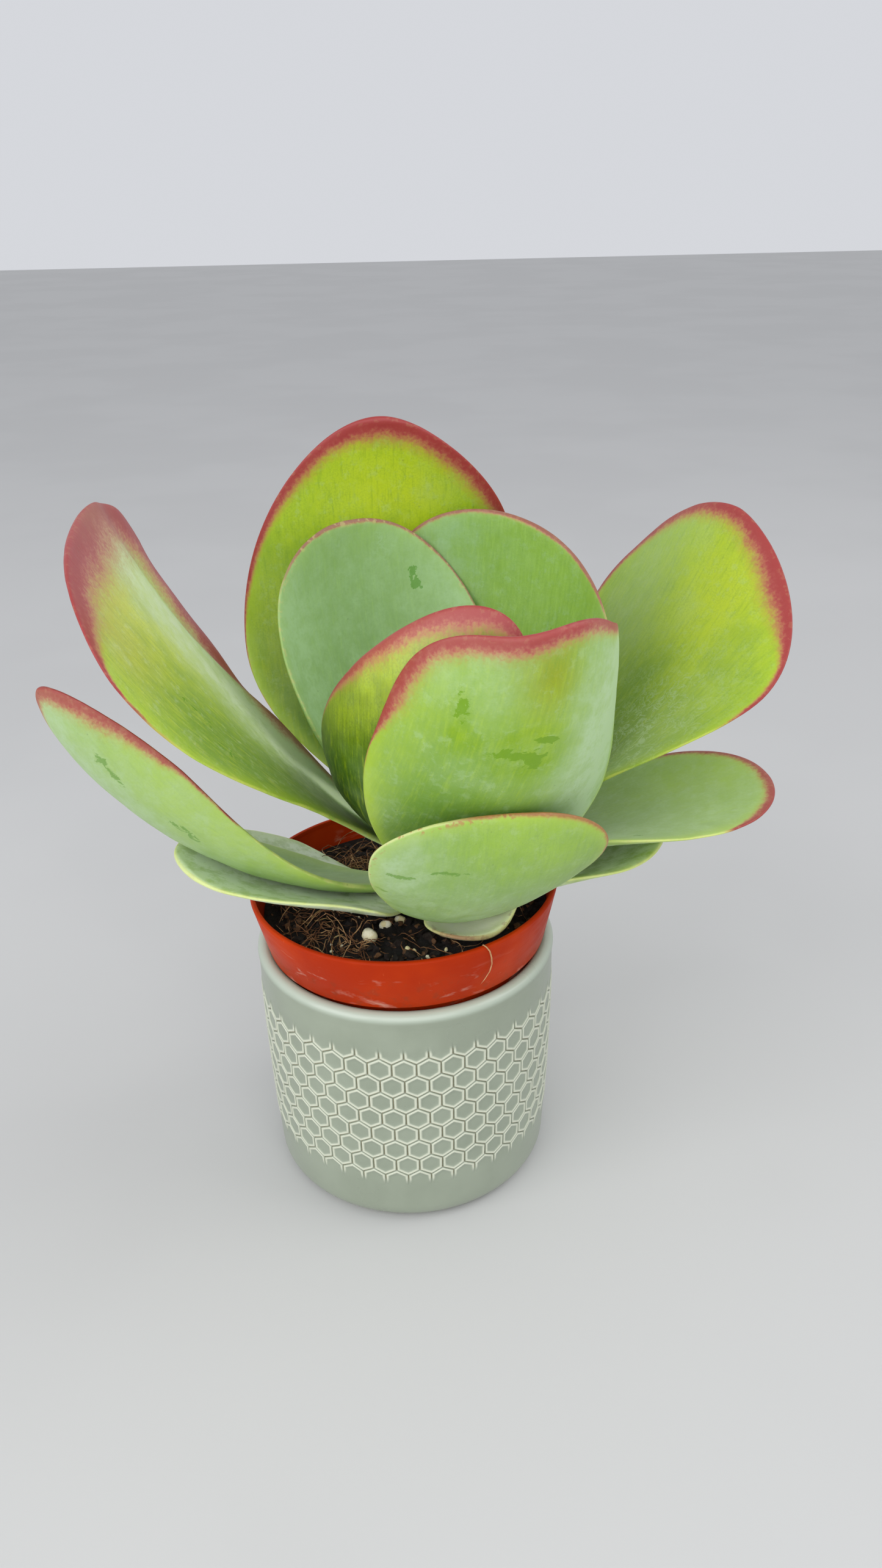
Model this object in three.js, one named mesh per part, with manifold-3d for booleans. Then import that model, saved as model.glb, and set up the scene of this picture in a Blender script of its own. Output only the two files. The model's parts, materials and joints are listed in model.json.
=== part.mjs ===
// Paddle plant: a succulent rosette in a plastic nursery pot, which hangs by its collar in a glazed
// ceramic cachepot. Millimetres, +Z up. The origin is the centre of the cachepot's flat foot.
// From straight ahead (looking along +Y) the right-hand side is +X.

import * as THREE from 'three';
import { mergeVertices } from 'three/addons/utils/BufferGeometryUtils.js';
import Module from 'manifold-3d';

const wasm = await Module();
wasm.setup();

// ---- Driving dimensions ----

const GAP = 0.3; // clearance wherever one piece touches another
const MERGE_DISTANCE = 1e-4; // corners closer than this are one
const FLATTEST_CUP = 1e-3; // least cupping of a blade, in radians
const POT_SIDES = 48; // flats round the pots and the soil

// Cachepot: thick slip-cast ceramic, slightly barrelled, with a rounded lip
const CACHEPOT_HEIGHT = 102;
const CACHEPOT_FOOT_RADIUS = 55.8;
const CACHEPOT_BELLY_RADIUS = 58.6;
const CACHEPOT_BELLY_HEIGHT = 55;
const CACHEPOT_NECK_RADIUS = 58.4;
const CACHEPOT_LIP_RADIUS = 58.8;
const CACHEPOT_LIP_ROUND = 3;
const CACHEPOT_CORNER_ROUND = 8;
const CACHEPOT_FLOOR = 6;
const CACHEPOT_INNER_FOOT_RADIUS = 50;
const CACHEPOT_INNER_ROUND = 5;
const ROUNDING_STEPS = 4; // facets across a rounding
const LIP_STEPS = 6;

// Nursery pot: a standard 12 cm plastic pot, measured down from its rim
const POT_RIM_RADIUS = 60;
const POT_RIM_HEIGHT = 126; // height of the rim's centre above the table
const POT_TILT = THREE.MathUtils.degToRad(1.3); // its right side stands higher
const POT_RIM_EDGE = 2; // thickness of the rim
const POT_RIM_CHAMFER = 0.7;
const POT_COLLAR_DEPTH = 22.6;
const POT_COLLAR_FOOT_RADIUS = 54.9;
const POT_BODY_RADIUS = 51.6;
const POT_FOOT_RADIUS = 42;
const POT_DEPTH = 106;
const POT_WALL = 1.6;
const DRAIN_HOLES = 5;
const DRAIN_HOLE_RADIUS = 4;
const DRAIN_HOLE_SIDES = 16;
const DRAIN_CIRCLE_RADIUS = 26;

// Soil, measured in the nursery pot's own frame
const SOIL_DEPTH_BELOW_RIM = 11;
const SOIL_ROUGHNESS = 0.9;
const SOIL_LUMP = 48; // width of its broad lumps
const SOIL_CLOD = 17; // width of its clods
const SOIL_RINGS = 6;
const GRAINS = 13;
const GRAIN_RADIUS = 2.2;
const GRAIN_SPREAD = 0.4; // share by which the smallest grains fall short of the largest
const GRAIN_REACH = 50; // grains lie this far out at most
const GOLDEN_ANGLE = Math.PI * (3 - Math.sqrt(5));

// Stem
const STEM_X = 11;
const STEM_Y = -5;
const STEM_FOOT = 94;
const STEM_TIP = 158.5;
const STEM_FOOT_RADIUS = 6.5;
const STEM_TIP_RADIUS = 4;
const STEM_SIDES = 14;
const STEM_NODES = 6; // swellings between soil and tip
const STEM_SWELLING = 0.4;

// Leaf blades
const LEAF_SIDES = 10; // facets across each face of a blade
const LEAF_ROWS = 16; // rows of facets from base to tip
const BUD_SIDES = 6;
const BUD_ROWS = 8;
const LEAF_BASE_REACH = 4; // a midrib starts this far from the stem's axis
const LEAF_TIP_THICKNESS = 2.8;
const LEAF_EDGE_FULLNESS = 0.7; // below 1, a section keeps its thickness closer to its edge
const LEAF_SHOULDER = 1.6; // how slowly a blade widens from its base
const SPINE_STEPS = 96;

// Each leaf by its midrib, which leaves the stem at a height and with a compass heading, climbs by
// its rise and swings by its turn, and by its blade: length, width, base (width and thickness), where it
// is widest, how round its
// tip is, how strongly it cups from base to tip (with the belly added halfway), how it rolls about
// the midrib and how its sides slant. Angles are in degrees.
const LEAVES = {
  leaf_front_base: {
    heading: 286, turn: 45, height: 118.5, rise: [-7, 14], ease: 0.45,
    length: 40, width: 33, base: [6, 3.5], widest: 0.77, roundness: 1.5,
    cup: [0, 63], belly: -10, roll: [-22, 10], slant: 0.64,
  },
  leaf_left_base: {
    heading: 182, turn: 15, height: 120, rise: [3, 27], ease: 0.95,
    length: 94, width: 76, base: [13, 4.5], widest: 0.4, roundness: 2.15,
    cup: [-8, 20], belly: 21, roll: [14, 3], slant: -0.27,
  },
  leaf_right_base: {
    heading: 350, turn: 13, height: 120.5, rise: [4, 26], ease: 0.65,
    length: 89, width: 56, base: [11, 4], widest: 0.68, roundness: 1.95,
    cup: [54, -5], belly: 15, roll: [-5, -10], slant: 0.15,
  },
  leaf_front_low: {
    heading: 278, turn: 20, height: 125, rise: [6, 90], ease: 1.3,
    length: 113, width: 84, base: [13, 4.5], widest: 0.79, roundness: 2.45,
    cup: [80, 7], belly: -7, roll: [0, -11], slant: -0.11,
  },
  leaf_right_low: {
    heading: -2, turn: 3, height: 128.5, rise: [17, 19], ease: 1.55,
    length: 129, width: 81, base: [13, 4.5], widest: 0.56, roundness: 2,
    cup: [52, 10], belly: -10, roll: [-27, 8], slant: -0.13,
  },
  leaf_left_low: {
    heading: 196, turn: -25, height: 128.5, rise: [-5, 68], ease: 0.9,
    length: 169, width: 69, base: [12, 4.4], widest: 0.56, roundness: 1.55,
    cup: [80, 51], belly: -12, roll: [11.5, 57], slant: 0.47,
  },
  leaf_back_tall: {
    heading: 105, turn: -7, height: 130.4, rise: [50.5, 107], ease: 1.6,
    length: 177.8, width: 115, base: [12.5, 4], widest: 0.54, roundness: 1.8,
    cup: [-10, 41], belly: -40, roll: [24, -10], slant: -0.03,
  },
  leaf_right_large: {
    heading: 17, turn: 11, height: 137, rise: [12, 63], ease: 0.65,
    length: 179, width: 119, base: [13, 5], widest: 0.71, roundness: 1.65,
    cup: [70, -31], belly: 0, roll: [-17, 2], slant: 0.18,
  },
  leaf_left_large: {
    heading: 199, turn: -4, height: 139.5, rise: [29, 62], ease: 0.5,
    length: 177, width: 131, base: [13, 5], widest: 0.8, roundness: 2.45,
    cup: [82, 9], belly: -38, roll: [0, -11], slant: 0.02,
  },
  leaf_front_tall: {
    heading: 278, turn: 45, height: 145.4, rise: [-4, 86], ease: 0.65,
    length: 158, width: 103, base: [13, 5], widest: 0.6, roundness: 3.05,
    cup: [-10, 80], belly: 14, roll: [-7, -25], slant: -0.02,
  },
  leaf_right_inner: {
    heading: 47, turn: -5, height: 144.5, rise: [17, 87], ease: 0.45,
    length: 128, width: 103, base: [13, 5], widest: 0.63, roundness: 2.1,
    cup: [100, 47], belly: -36, roll: [6, 19], slant: 0.25,
  },
  leaf_back_inner: {
    heading: 124, turn: 8, height: 149.5, rise: [51, 97], ease: 1.3,
    length: 120, width: 98, base: [13, 5], widest: 0.46, roundness: 2.25,
    cup: [100, 23], belly: 1, roll: [-15, -6], slant: 0.04,
  },
  leaf_left_inner: {
    heading: 251, turn: 12, height: 154, rise: [8, 116], ease: 1.15,
    length: 123, width: 99, base: [13, 5], widest: 0.75, roundness: 2.9,
    cup: [87, 40], belly: 1, roll: [2, -41], slant: 0.46,
  },
  bud_leaf_front: {
    heading: 320, turn: 0, height: 157, rise: [62, 98], ease: 1,
    length: 30, width: 17, base: [6, 3], widest: 0.5, roundness: 2,
    cup: [70, 50], belly: 0, roll: [0, 0], slant: 0,
  },
  bud_leaf_back: {
    heading: 140, turn: 0, height: 157, rise: [66, 96], ease: 1,
    length: 27, width: 15, base: [6, 3], widest: 0.5, roundness: 2,
    cup: [70, 50], belly: 0, roll: [0, 0], slant: 0,
  },
};

// ---- Solids ----

function toSolid(geometry) {
  const bare = geometry.clone();
  bare.deleteAttribute('normal');
  bare.deleteAttribute('uv');
  const merged = mergeVertices(bare, MERGE_DISTANCE);
  const corners = merged.index.array;
  const kept = [];
  for (let i = 0; i < corners.length; i += 3) {
    const [a, b, c] = [corners[i], corners[i + 1], corners[i + 2]];
    if (a !== b && b !== c && c !== a) kept.push(a, b, c);
  }
  return new wasm.Manifold(new wasm.Mesh({
    numProp: 3,
    vertProperties: new Float32Array(merged.attributes.position.array),
    triVerts: new Uint32Array(kept),
  }));
}

function toGeometry(solid) {
  const mesh = solid.getMesh();
  const geometry = new THREE.BufferGeometry();
  geometry.setAttribute('position', new THREE.BufferAttribute(mesh.vertProperties, 3));
  geometry.setIndex(new THREE.BufferAttribute(mesh.triVerts, 1));
  return geometry;
}

// A profile of [radius, height] points turned round the Z axis
function turned(profile, sides) {
  const points = profile.map(([radius, height]) => new THREE.Vector2(radius, height));
  return new THREE.LatheGeometry(points, sides).rotateX(Math.PI / 2);
}

// An upright cylinder from one height to another
function post(x, y, bottom, top, radius, sides) {
  const cylinder = new THREE.CylinderGeometry(radius, radius, top - bottom, sides).rotateX(Math.PI / 2);
  return cylinder.translate(x, y, (bottom + top) / 2);
}

function arc(radius, height, round, fromDegrees, toDegrees, steps) {
  const points = [];
  for (let i = 0; i <= steps; i++) {
    const angle = THREE.MathUtils.degToRad(THREE.MathUtils.lerp(fromDegrees, toDegrees, i / steps));
    points.push([radius + round * Math.cos(angle), height + round * Math.sin(angle)]);
  }
  return points;
}

// ---- Cachepot ----

function cachepot() {
  const barrel = new THREE.QuadraticBezierCurve(
    new THREE.Vector2(CACHEPOT_FOOT_RADIUS, CACHEPOT_CORNER_ROUND),
    new THREE.Vector2(CACHEPOT_BELLY_RADIUS, CACHEPOT_BELLY_HEIGHT),
    new THREE.Vector2(CACHEPOT_NECK_RADIUS, CACHEPOT_HEIGHT - CACHEPOT_LIP_ROUND - CACHEPOT_LIP_ROUND),
  );
  const lipCentre = CACHEPOT_LIP_RADIUS - CACHEPOT_LIP_ROUND;
  const profile = [
    [0, 0],
    ...arc(CACHEPOT_FOOT_RADIUS - CACHEPOT_CORNER_ROUND, CACHEPOT_CORNER_ROUND, CACHEPOT_CORNER_ROUND,
      -90, 0, ROUNDING_STEPS),
    ...barrel.getPoints(ROUNDING_STEPS).slice(1).map((point) => [point.x, point.y]),
    ...arc(lipCentre, CACHEPOT_HEIGHT - CACHEPOT_LIP_ROUND, CACHEPOT_LIP_ROUND, 0, 180, LIP_STEPS),
    ...arc(CACHEPOT_INNER_FOOT_RADIUS - CACHEPOT_INNER_ROUND, CACHEPOT_FLOOR + CACHEPOT_INNER_ROUND,
      CACHEPOT_INNER_ROUND, 0, -90, ROUNDING_STEPS),
    [0, CACHEPOT_FLOOR],
  ];
  return toSolid(turned(profile, POT_SIDES));
}

// ---- Nursery pot ----

// Everything inside the nursery pot shares its lean and its height
function seated(geometry) {
  return geometry.rotateY(-POT_TILT).translate(0, 0, POT_RIM_HEIGHT);
}

function nurseryPot() {
  const collarInside = POT_COLLAR_FOOT_RADIUS - POT_WALL;
  const profile = [
    [0, -POT_DEPTH],
    [POT_FOOT_RADIUS, -POT_DEPTH],
    [POT_BODY_RADIUS, -POT_COLLAR_DEPTH],
    [POT_COLLAR_FOOT_RADIUS, -POT_COLLAR_DEPTH],
    [POT_RIM_RADIUS, -POT_RIM_CHAMFER],
    [POT_RIM_RADIUS - POT_RIM_CHAMFER, 0],
    [POT_RIM_RADIUS - POT_RIM_EDGE, 0],
    [POT_RIM_RADIUS - POT_RIM_EDGE, -POT_RIM_EDGE],
    [collarInside, -POT_COLLAR_DEPTH + POT_WALL],
    [POT_BODY_RADIUS - POT_WALL, -POT_COLLAR_DEPTH + POT_WALL],
    [POT_FOOT_RADIUS - POT_WALL, -POT_DEPTH + POT_WALL],
    [0, -POT_DEPTH + POT_WALL],
  ];
  let pot = toSolid(seated(turned(profile, POT_SIDES)));
  for (let i = 0; i < DRAIN_HOLES; i++) {
    const angle = (i / DRAIN_HOLES) * Math.PI * 2;
    const x = DRAIN_CIRCLE_RADIUS * Math.cos(angle);
    const y = DRAIN_CIRCLE_RADIUS * Math.sin(angle);
    const hole = post(x, y, -POT_DEPTH - POT_WALL, -POT_DEPTH + POT_WALL + POT_WALL,
      DRAIN_HOLE_RADIUS, DRAIN_HOLE_SIDES);
    pot = pot.subtract(toSolid(seated(hole)));
  }
  return pot;
}

// ---- Soil ----

// Inner radius of the collar at a depth below the rim
function collarInsideAt(depth) {
  const top = POT_RIM_RADIUS - POT_RIM_EDGE;
  const foot = POT_COLLAR_FOOT_RADIUS - POT_WALL;
  const share = (depth - POT_RIM_EDGE) / (POT_COLLAR_DEPTH - POT_WALL - POT_RIM_EDGE);
  return THREE.MathUtils.lerp(top, foot, share);
}

// Gentle lumps and hollows of watered-in compost
function soilLift(x, y) {
  const lump = (Math.PI * 2) / SOIL_LUMP;
  const clod = (Math.PI * 2) / SOIL_CLOD;
  const broad = Math.sin(x * lump + 1) * Math.cos(y * lump);
  const fine = Math.sin((x - y / 2) * clod) * Math.cos((y + x / 2) * clod + 2);
  return SOIL_ROUGHNESS * (broad + fine);
}

function soil() {
  const surface = -SOIL_DEPTH_BELOW_RIM;
  const edge = collarInsideAt(SOIL_DEPTH_BELOW_RIM) - GAP;
  const step = -POT_COLLAR_DEPTH + POT_WALL + GAP;
  const bottom = -POT_DEPTH + POT_WALL + GAP;
  const profile = [
    [0, bottom],
    [POT_FOOT_RADIUS - POT_WALL - GAP, bottom],
    [POT_BODY_RADIUS - POT_WALL - GAP, step],
    [POT_COLLAR_FOOT_RADIUS - POT_WALL - GAP, step],
  ];
  for (let ring = SOIL_RINGS; ring >= 0; ring--) profile.push([edge * (ring / SOIL_RINGS), surface]);
  const body = turned(profile, POT_SIDES);
  const points = body.attributes.position;
  for (let i = 0; i < points.count; i++) {
    const reach = Math.hypot(points.getX(i), points.getY(i)) / edge;
    const onTop = points.getZ(i) > surface - GAP && reach < 1 - GAP / edge;
    if (onTop) points.setZ(i, surface + soilLift(points.getX(i), points.getY(i)));
  }
  let bed = toSolid(seated(body));
  for (let i = 1; i <= GRAINS; i++) {
    const radius = GRAIN_RADIUS * (1 - GRAIN_SPREAD * Math.abs(Math.sin(i * i)));
    const reach = GRAIN_REACH * Math.sqrt(i / GRAINS);
    const x = reach * Math.cos(i * GOLDEN_ANGLE);
    const y = reach * Math.sin(i * GOLDEN_ANGLE);
    const grain = new THREE.IcosahedronGeometry(radius).rotateX(i).rotateZ(i * i);
    grain.translate(x, y, surface + soilLift(x, y));
    bed = bed.add(toSolid(seated(grain)));
  }
  const hole = post(STEM_X, STEM_Y, STEM_FOOT - GAP, STEM_TIP, STEM_FOOT_RADIUS + GAP, STEM_SIDES);
  return bed.subtract(toSolid(hole));
}

// ---- Stem ----

// The stem, or with some extra all round, the room that it needs in a leaf's base
function stem(extra) {
  const soilTop = POT_RIM_HEIGHT - SOIL_DEPTH_BELOW_RIM;
  const profile = [
    [0, STEM_FOOT - extra],
    [STEM_FOOT_RADIUS + extra, STEM_FOOT - extra],
    [STEM_FOOT_RADIUS + extra, soilTop],
  ];
  for (let i = 1; i <= STEM_NODES * 2; i++) {
    const share = i / (STEM_NODES * 2);
    const radius = THREE.MathUtils.lerp(STEM_FOOT_RADIUS, STEM_TIP_RADIUS, share);
    const waist = i % 2 === 0 ? STEM_SWELLING : 0;
    const height = THREE.MathUtils.lerp(soilTop, STEM_TIP - STEM_TIP_RADIUS, share);
    profile.push([radius - waist + extra, height]);
  }
  profile.push([STEM_TIP_RADIUS / 2 + extra, STEM_TIP + extra], [0, STEM_TIP + extra]);
  return toSolid(turned(profile, STEM_SIDES).translate(STEM_X, STEM_Y, 0));
}

// ---- Leaves ----

// The midrib as points with the directions along it, across the blade and out of its upper face
function midrib(leaf) {
  const heading = THREE.MathUtils.degToRad(leaf.heading);
  const point = new THREE.Vector3(
    STEM_X + LEAF_BASE_REACH * Math.cos(heading),
    STEM_Y + LEAF_BASE_REACH * Math.sin(heading),
    leaf.height,
  );
  const stations = [];
  for (let i = 0; i <= SPINE_STEPS; i++) {
    const t = i / SPINE_STEPS;
    const bearing = THREE.MathUtils.degToRad(leaf.heading + leaf.turn * t);
    const rise = THREE.MathUtils.degToRad(THREE.MathUtils.lerp(...leaf.rise, t ** leaf.ease));
    const roll = THREE.MathUtils.degToRad(THREE.MathUtils.lerp(...leaf.roll, t));
    const along = new THREE.Vector3(
      Math.cos(rise) * Math.cos(bearing),
      Math.cos(rise) * Math.sin(bearing),
      Math.sin(rise),
    );
    const across = new THREE.Vector3(-Math.sin(bearing), Math.cos(bearing), 0).applyAxisAngle(along, roll);
    const upper = new THREE.Vector3().crossVectors(along, across);
    if (i > 0) point.addScaledVector(along, leaf.length / SPINE_STEPS);
    stations.push({ point: point.clone(), along, across, upper });
  }
  return stations;
}

// Half the blade's width at a share of its length
function halfWidth(leaf, t) {
  const [baseWidth] = leaf.base;
  const base = baseWidth / leaf.width;
  const half = leaf.width / 2;
  if (t < leaf.widest) {
    return half * (base + (1 - base) * Math.sin((Math.PI / 2) * (t / leaf.widest)) ** LEAF_SHOULDER);
  }
  const beyond = (t - leaf.widest) / (1 - leaf.widest);
  return half * (1 - beyond ** leaf.roundness) ** (1 / leaf.roundness);
}

// A point of the blade: t from base to tip, s from edge to edge, lift off its middle layer
function bladePoint(leaf, stations, t, s, lift) {
  const station = stations[Math.round(t * SPINE_STEPS)];
  const half = leaf.width / 2;
  const width = halfWidth(leaf, t);
  const belly = leaf.belly * 4 * t * (1 - t);
  const cup = THREE.MathUtils.degToRad(THREE.MathUtils.lerp(...leaf.cup, t) + belly);
  const radius = half / (Math.abs(cup) < FLATTEST_CUP ? FLATTEST_CUP : cup);
  const angle = (s * width) / radius;
  const depth = radius - lift;
  return station.point.clone()
    .addScaledVector(station.across, depth * Math.sin(angle))
    .addScaledVector(station.upper, radius - depth * Math.cos(angle))
    .addScaledVector(station.along, leaf.slant * s * width);
}

function leafBlade(leaf, sides, rowCount) {
  const stations = midrib(leaf);
  const [, baseThickness] = leaf.base;
  const positions = [];
  const rows = [];
  const put = (t, s, lift) => {
    positions.push(...bladePoint(leaf, stations, t, s, lift));
    return positions.length / 3 - 1;
  };
  for (let i = 0; i < rowCount; i++) {
    const t = Math.round(((1 - Math.cos((Math.PI * i) / rowCount)) / 2) * SPINE_STEPS) / SPINE_STEPS;
    const half = THREE.MathUtils.lerp(baseThickness, LEAF_TIP_THICKNESS, t) / 2;
    const upper = [];
    const lower = [];
    for (let j = 0; j <= sides; j++) {
      const turn = (Math.PI * j) / sides;
      const atEdge = j === 0 || j === sides;
      const lift = atEdge ? 0 : half * Math.sin(turn) ** LEAF_EDGE_FULLNESS;
      upper.push(put(t, Math.cos(turn), lift));
      lower.push(atEdge ? upper[j] : put(t, Math.cos(turn), -lift));
    }
    rows.push({ upper, lower });
  }
  const tip = put(1, 0, 0);
  const faces = [];
  for (let i = 0; i < rowCount; i++) {
    for (let j = 0; j < sides; j++) {
      const { upper, lower } = rows[i];
      const atBase = i === 0;
      if (atBase) faces.push(upper[j], lower[j], lower[j + 1], upper[j], lower[j + 1], upper[j + 1]);
      if (i === rowCount - 1) {
        faces.push(upper[j], upper[j + 1], tip, lower[j], tip, lower[j + 1]);
        continue;
      }
      const next = rows[i + 1];
      faces.push(upper[j], upper[j + 1], next.upper[j + 1], upper[j], next.upper[j + 1], next.upper[j]);
      faces.push(lower[j], next.lower[j + 1], lower[j + 1], lower[j], next.lower[j], next.lower[j + 1]);
    }
  }
  const geometry = new THREE.BufferGeometry();
  geometry.setAttribute('position', new THREE.Float32BufferAttribute(positions, 3));
  geometry.setIndex(faces);
  return toSolid(geometry);
}

// ---- Materials ----

function surface(color, roughness) {
  return new THREE.MeshStandardMaterial({ color, roughness, metalness: 0 });
}

const celadonGlaze = surface(0x9fa894, 0.35);
const redPlastic = surface(0xb24327, 0.55);
const compost = surface(0x2a221c, 0.95);
const stemSkin = surface(0x8a9a6a, 0.7);
const leafSkin = surface(0x8fae55, 0.5);

// ---- Assembly ----

const plant = new THREE.Group();
plant.name = 'paddle_plant';

function include(name, solid, material) {
  const mesh = new THREE.Mesh(toGeometry(solid), material);
  mesh.name = name;
  plant.add(mesh);
}

include('cachepot', cachepot(), celadonGlaze);
include('nursery_pot', nurseryPot(), redPlastic);
include('soil', soil(), compost);
include('stem', stem(0), stemSkin);
const stemClearance = stem(GAP);
for (const [name, leaf] of Object.entries(LEAVES)) {
  const blade = name.startsWith('bud')
    ? leafBlade(leaf, BUD_SIDES, BUD_ROWS)
    : leafBlade(leaf, LEAF_SIDES, LEAF_ROWS);
  include(name, blade.subtract(stemClearance), leafSkin);
}

export default plant;
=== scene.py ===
import json
import math
import random

import bmesh
import bpy
from mathutils import Matrix, Vector, bvhtree, kdtree, noise

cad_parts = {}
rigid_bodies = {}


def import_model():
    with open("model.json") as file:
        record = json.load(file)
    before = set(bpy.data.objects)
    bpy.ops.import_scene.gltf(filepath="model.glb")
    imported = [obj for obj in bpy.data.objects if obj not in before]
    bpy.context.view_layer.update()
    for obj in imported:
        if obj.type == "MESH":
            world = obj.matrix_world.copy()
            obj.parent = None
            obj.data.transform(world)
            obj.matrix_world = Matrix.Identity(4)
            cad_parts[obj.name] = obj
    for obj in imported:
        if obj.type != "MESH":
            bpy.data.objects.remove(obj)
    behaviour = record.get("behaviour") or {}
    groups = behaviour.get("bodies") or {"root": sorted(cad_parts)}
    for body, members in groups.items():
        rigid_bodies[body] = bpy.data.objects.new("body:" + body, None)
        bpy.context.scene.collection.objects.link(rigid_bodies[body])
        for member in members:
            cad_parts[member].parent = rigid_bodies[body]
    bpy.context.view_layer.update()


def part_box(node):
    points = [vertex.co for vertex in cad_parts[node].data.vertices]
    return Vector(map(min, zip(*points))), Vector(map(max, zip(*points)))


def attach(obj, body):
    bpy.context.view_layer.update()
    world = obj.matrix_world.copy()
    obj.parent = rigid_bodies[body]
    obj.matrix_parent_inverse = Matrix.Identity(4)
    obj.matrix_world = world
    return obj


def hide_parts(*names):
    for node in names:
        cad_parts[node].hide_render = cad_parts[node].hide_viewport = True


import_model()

# ----------------------------------------------------------
# Cachepot. Slip-cast stoneware in a sage glaze, with a band of shallow honeycomb pressed round
# its belly. Each cell's raised rim is painted cream, partly the glaze's own paler tone there and partly
# a painted highlight where light catches the rims, and the glaze pools brown in the grooves.
# ----------------------------------------------------------
MM = 0.001
POT_FOOT = Vector((55.8, 8)) * MM
POT_BELLY = Vector((58.6, 55)) * MM
POT_NECK = Vector((58.4, 96)) * MM
LIP_CENTRE = Vector((55.8, 99)) * MM
LIP_ROUND = 3 * MM
FOOT_ROUND = 8 * MM
POT_FLOOR = 6 * MM
INNER_FOOT = 50 * MM
INNER_ROUND = 5 * MM
LIP_STEPS = 16
FOOT_STEPS = 8
INNER_STEPS = 5

CELL_COLUMNS = 40
CELL_ROWS = 9
CELL_PITCH = 9.05 * MM
CELL_CORNER = CELL_PITCH / math.sqrt(3)
CELL_ROW_STEP = CELL_CORNER * 1.5
TOP_ROW_HEIGHT = 85.55 * MM
TOP_ROW_TURN = math.radians(2.1)
CELL_SIDE_CUTS = 2
GROOVE_DEPTH = 0.45 * MM
# each step inwards over a cell: how far in, and how far up
CELL_STEPS = [(0.10, 0.0), (0.14, 0.40), (0.18, 0.26), (0.24, 0.10), (0.32, -0.10), (0.42, -0.26),
              (0.60, -0.16), (1.00, 0.06)]
CELL_DOME = 0.05 * MM
# the cells' inner edges are rounded off, most of all towards the middle
CELL_ROUNDNESS = 0.55
ROUND_SWELL = 1.05
ROUND_BAND = (1.6 * MM, 4.3 * MM)
# the glaze takes its tone from the height, in millimetres; the plain wall is toned like a cell's floor
PLAIN_TONE = -0.14
# the pattern dies away into the plain neck and foot between these heights
NECK_FADE = (84.2 * MM, 87.4 * MM)
FOOT_FADE = (20.0 * MM, 24.5 * MM)
NECK_RINGS = (92 * MM, 93.5 * MM, 95 * MM, 96 * MM)
FOOT_RINGS = (15 * MM, 13 * MM, 11 * MM, 9.5 * MM)
AXIS_RINGS = (20 * MM, 2 * MM)
CELL_WELD = 0.02 * MM
HALVINGS = 24


def smooth_share(value, low, high):
    share = min(max((value - low) / (high - low), 0), 1)
    return share * share * (3 - 2 * share)


def barrel_radius(height):
    # the barrel's wall is one even curve from foot to neck
    low, high = 0.0, 1.0
    for _ in range(HALVINGS):
        t = (low + high) / 2
        at = POT_FOOT.y * (1 - t) ** 2 + POT_BELLY.y * 2 * t * (1 - t) + POT_NECK.y * t * t
        low, high = (t, high) if at < height else (low, t)
    return POT_FOOT.x * (1 - t) ** 2 + POT_BELLY.x * 2 * t * (1 - t) + POT_NECK.x * t * t


def quarter(centre_radius, centre_height, round_radius, start, end, steps):
    points = []
    for i in range(steps + 1):
        angle = math.radians(start + (end - start) * i / steps)
        points.append((centre_radius + round_radius * math.cos(angle),
                       centre_height + round_radius * math.sin(angle)))
    return points


def verts_of(geometry):
    return [g for g in geometry if isinstance(g, bmesh.types.BMVert)]


def open_edges(edges):
    return [e for e in edges if isinstance(e, bmesh.types.BMEdge) and e.is_boundary]


def shown(name, form):
    mesh = bpy.data.meshes.new(name)
    form.to_mesh(mesh)
    form.free()
    item = bpy.data.objects.new(name, mesh)
    bpy.context.scene.collection.objects.link(item)
    return item


def finish_piece(name, form, body="root", smooth=True):
    piece = shown(name, form)
    piece.data.polygons.foreach_set("use_smooth", [smooth] * len(piece.data.polygons))
    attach(piece, body)
    return piece


pot = bmesh.new()
relief = pot.verts.layers.float.new("relief")
bmesh.ops.create_circle(pot, segments=6, radius=CELL_CORNER, cap_ends=True)
bmesh.ops.subdivide_edges(pot, edges=pot.edges[:], cuts=CELL_SIDE_CUTS)
bmesh.ops.translate(pot, verts=pot.verts[:], vec=(0, 0, -GROOVE_DEPTH))
for inward, upward in CELL_STEPS:
    middle = max(pot.faces, key=lambda f: len(f.verts))
    bmesh.ops.inset_individual(pot, faces=[middle], thickness=inward * MM, depth=upward * MM,
                               use_even_offset=True)
middle = max(pot.faces, key=lambda f: len(f.verts))
bmesh.ops.poke(pot, faces=[middle], offset=CELL_DOME)
flats = [Vector((math.cos(math.radians(turn)), math.sin(math.radians(turn)))) for turn in range(0, 360, 60)]
for v in pot.verts:
    v[relief] = v.co.z / MM
    reach = v.co.xy.length
    flat_reach = max(v.co.xy.dot(f) for f in flats)
    if reach > 0:
        roundness = CELL_ROUNDNESS * (1 - smooth_share(flat_reach, *ROUND_BAND))
        wanted = reach + (flat_reach * ROUND_SWELL - reach) * roundness
        v.co.x *= wanted / reach
        v.co.y *= wanted / reach
one_cell = pot.verts[:] + pot.edges[:] + pot.faces[:]
for column in range(1, CELL_COLUMNS):
    copy = bmesh.ops.duplicate(pot, geom=one_cell)["geom"]
    bmesh.ops.translate(pot, verts=verts_of(copy), vec=(CELL_PITCH * column, 0, 0))
one_row = pot.verts[:] + pot.edges[:] + pot.faces[:]
for row in range(1, CELL_ROWS):
    copy = bmesh.ops.duplicate(pot, geom=one_row)["geom"]
    bmesh.ops.translate(pot, verts=verts_of(copy),
                        vec=(CELL_PITCH / 2 * (row % 2), -CELL_ROW_STEP * row, 0))
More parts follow.
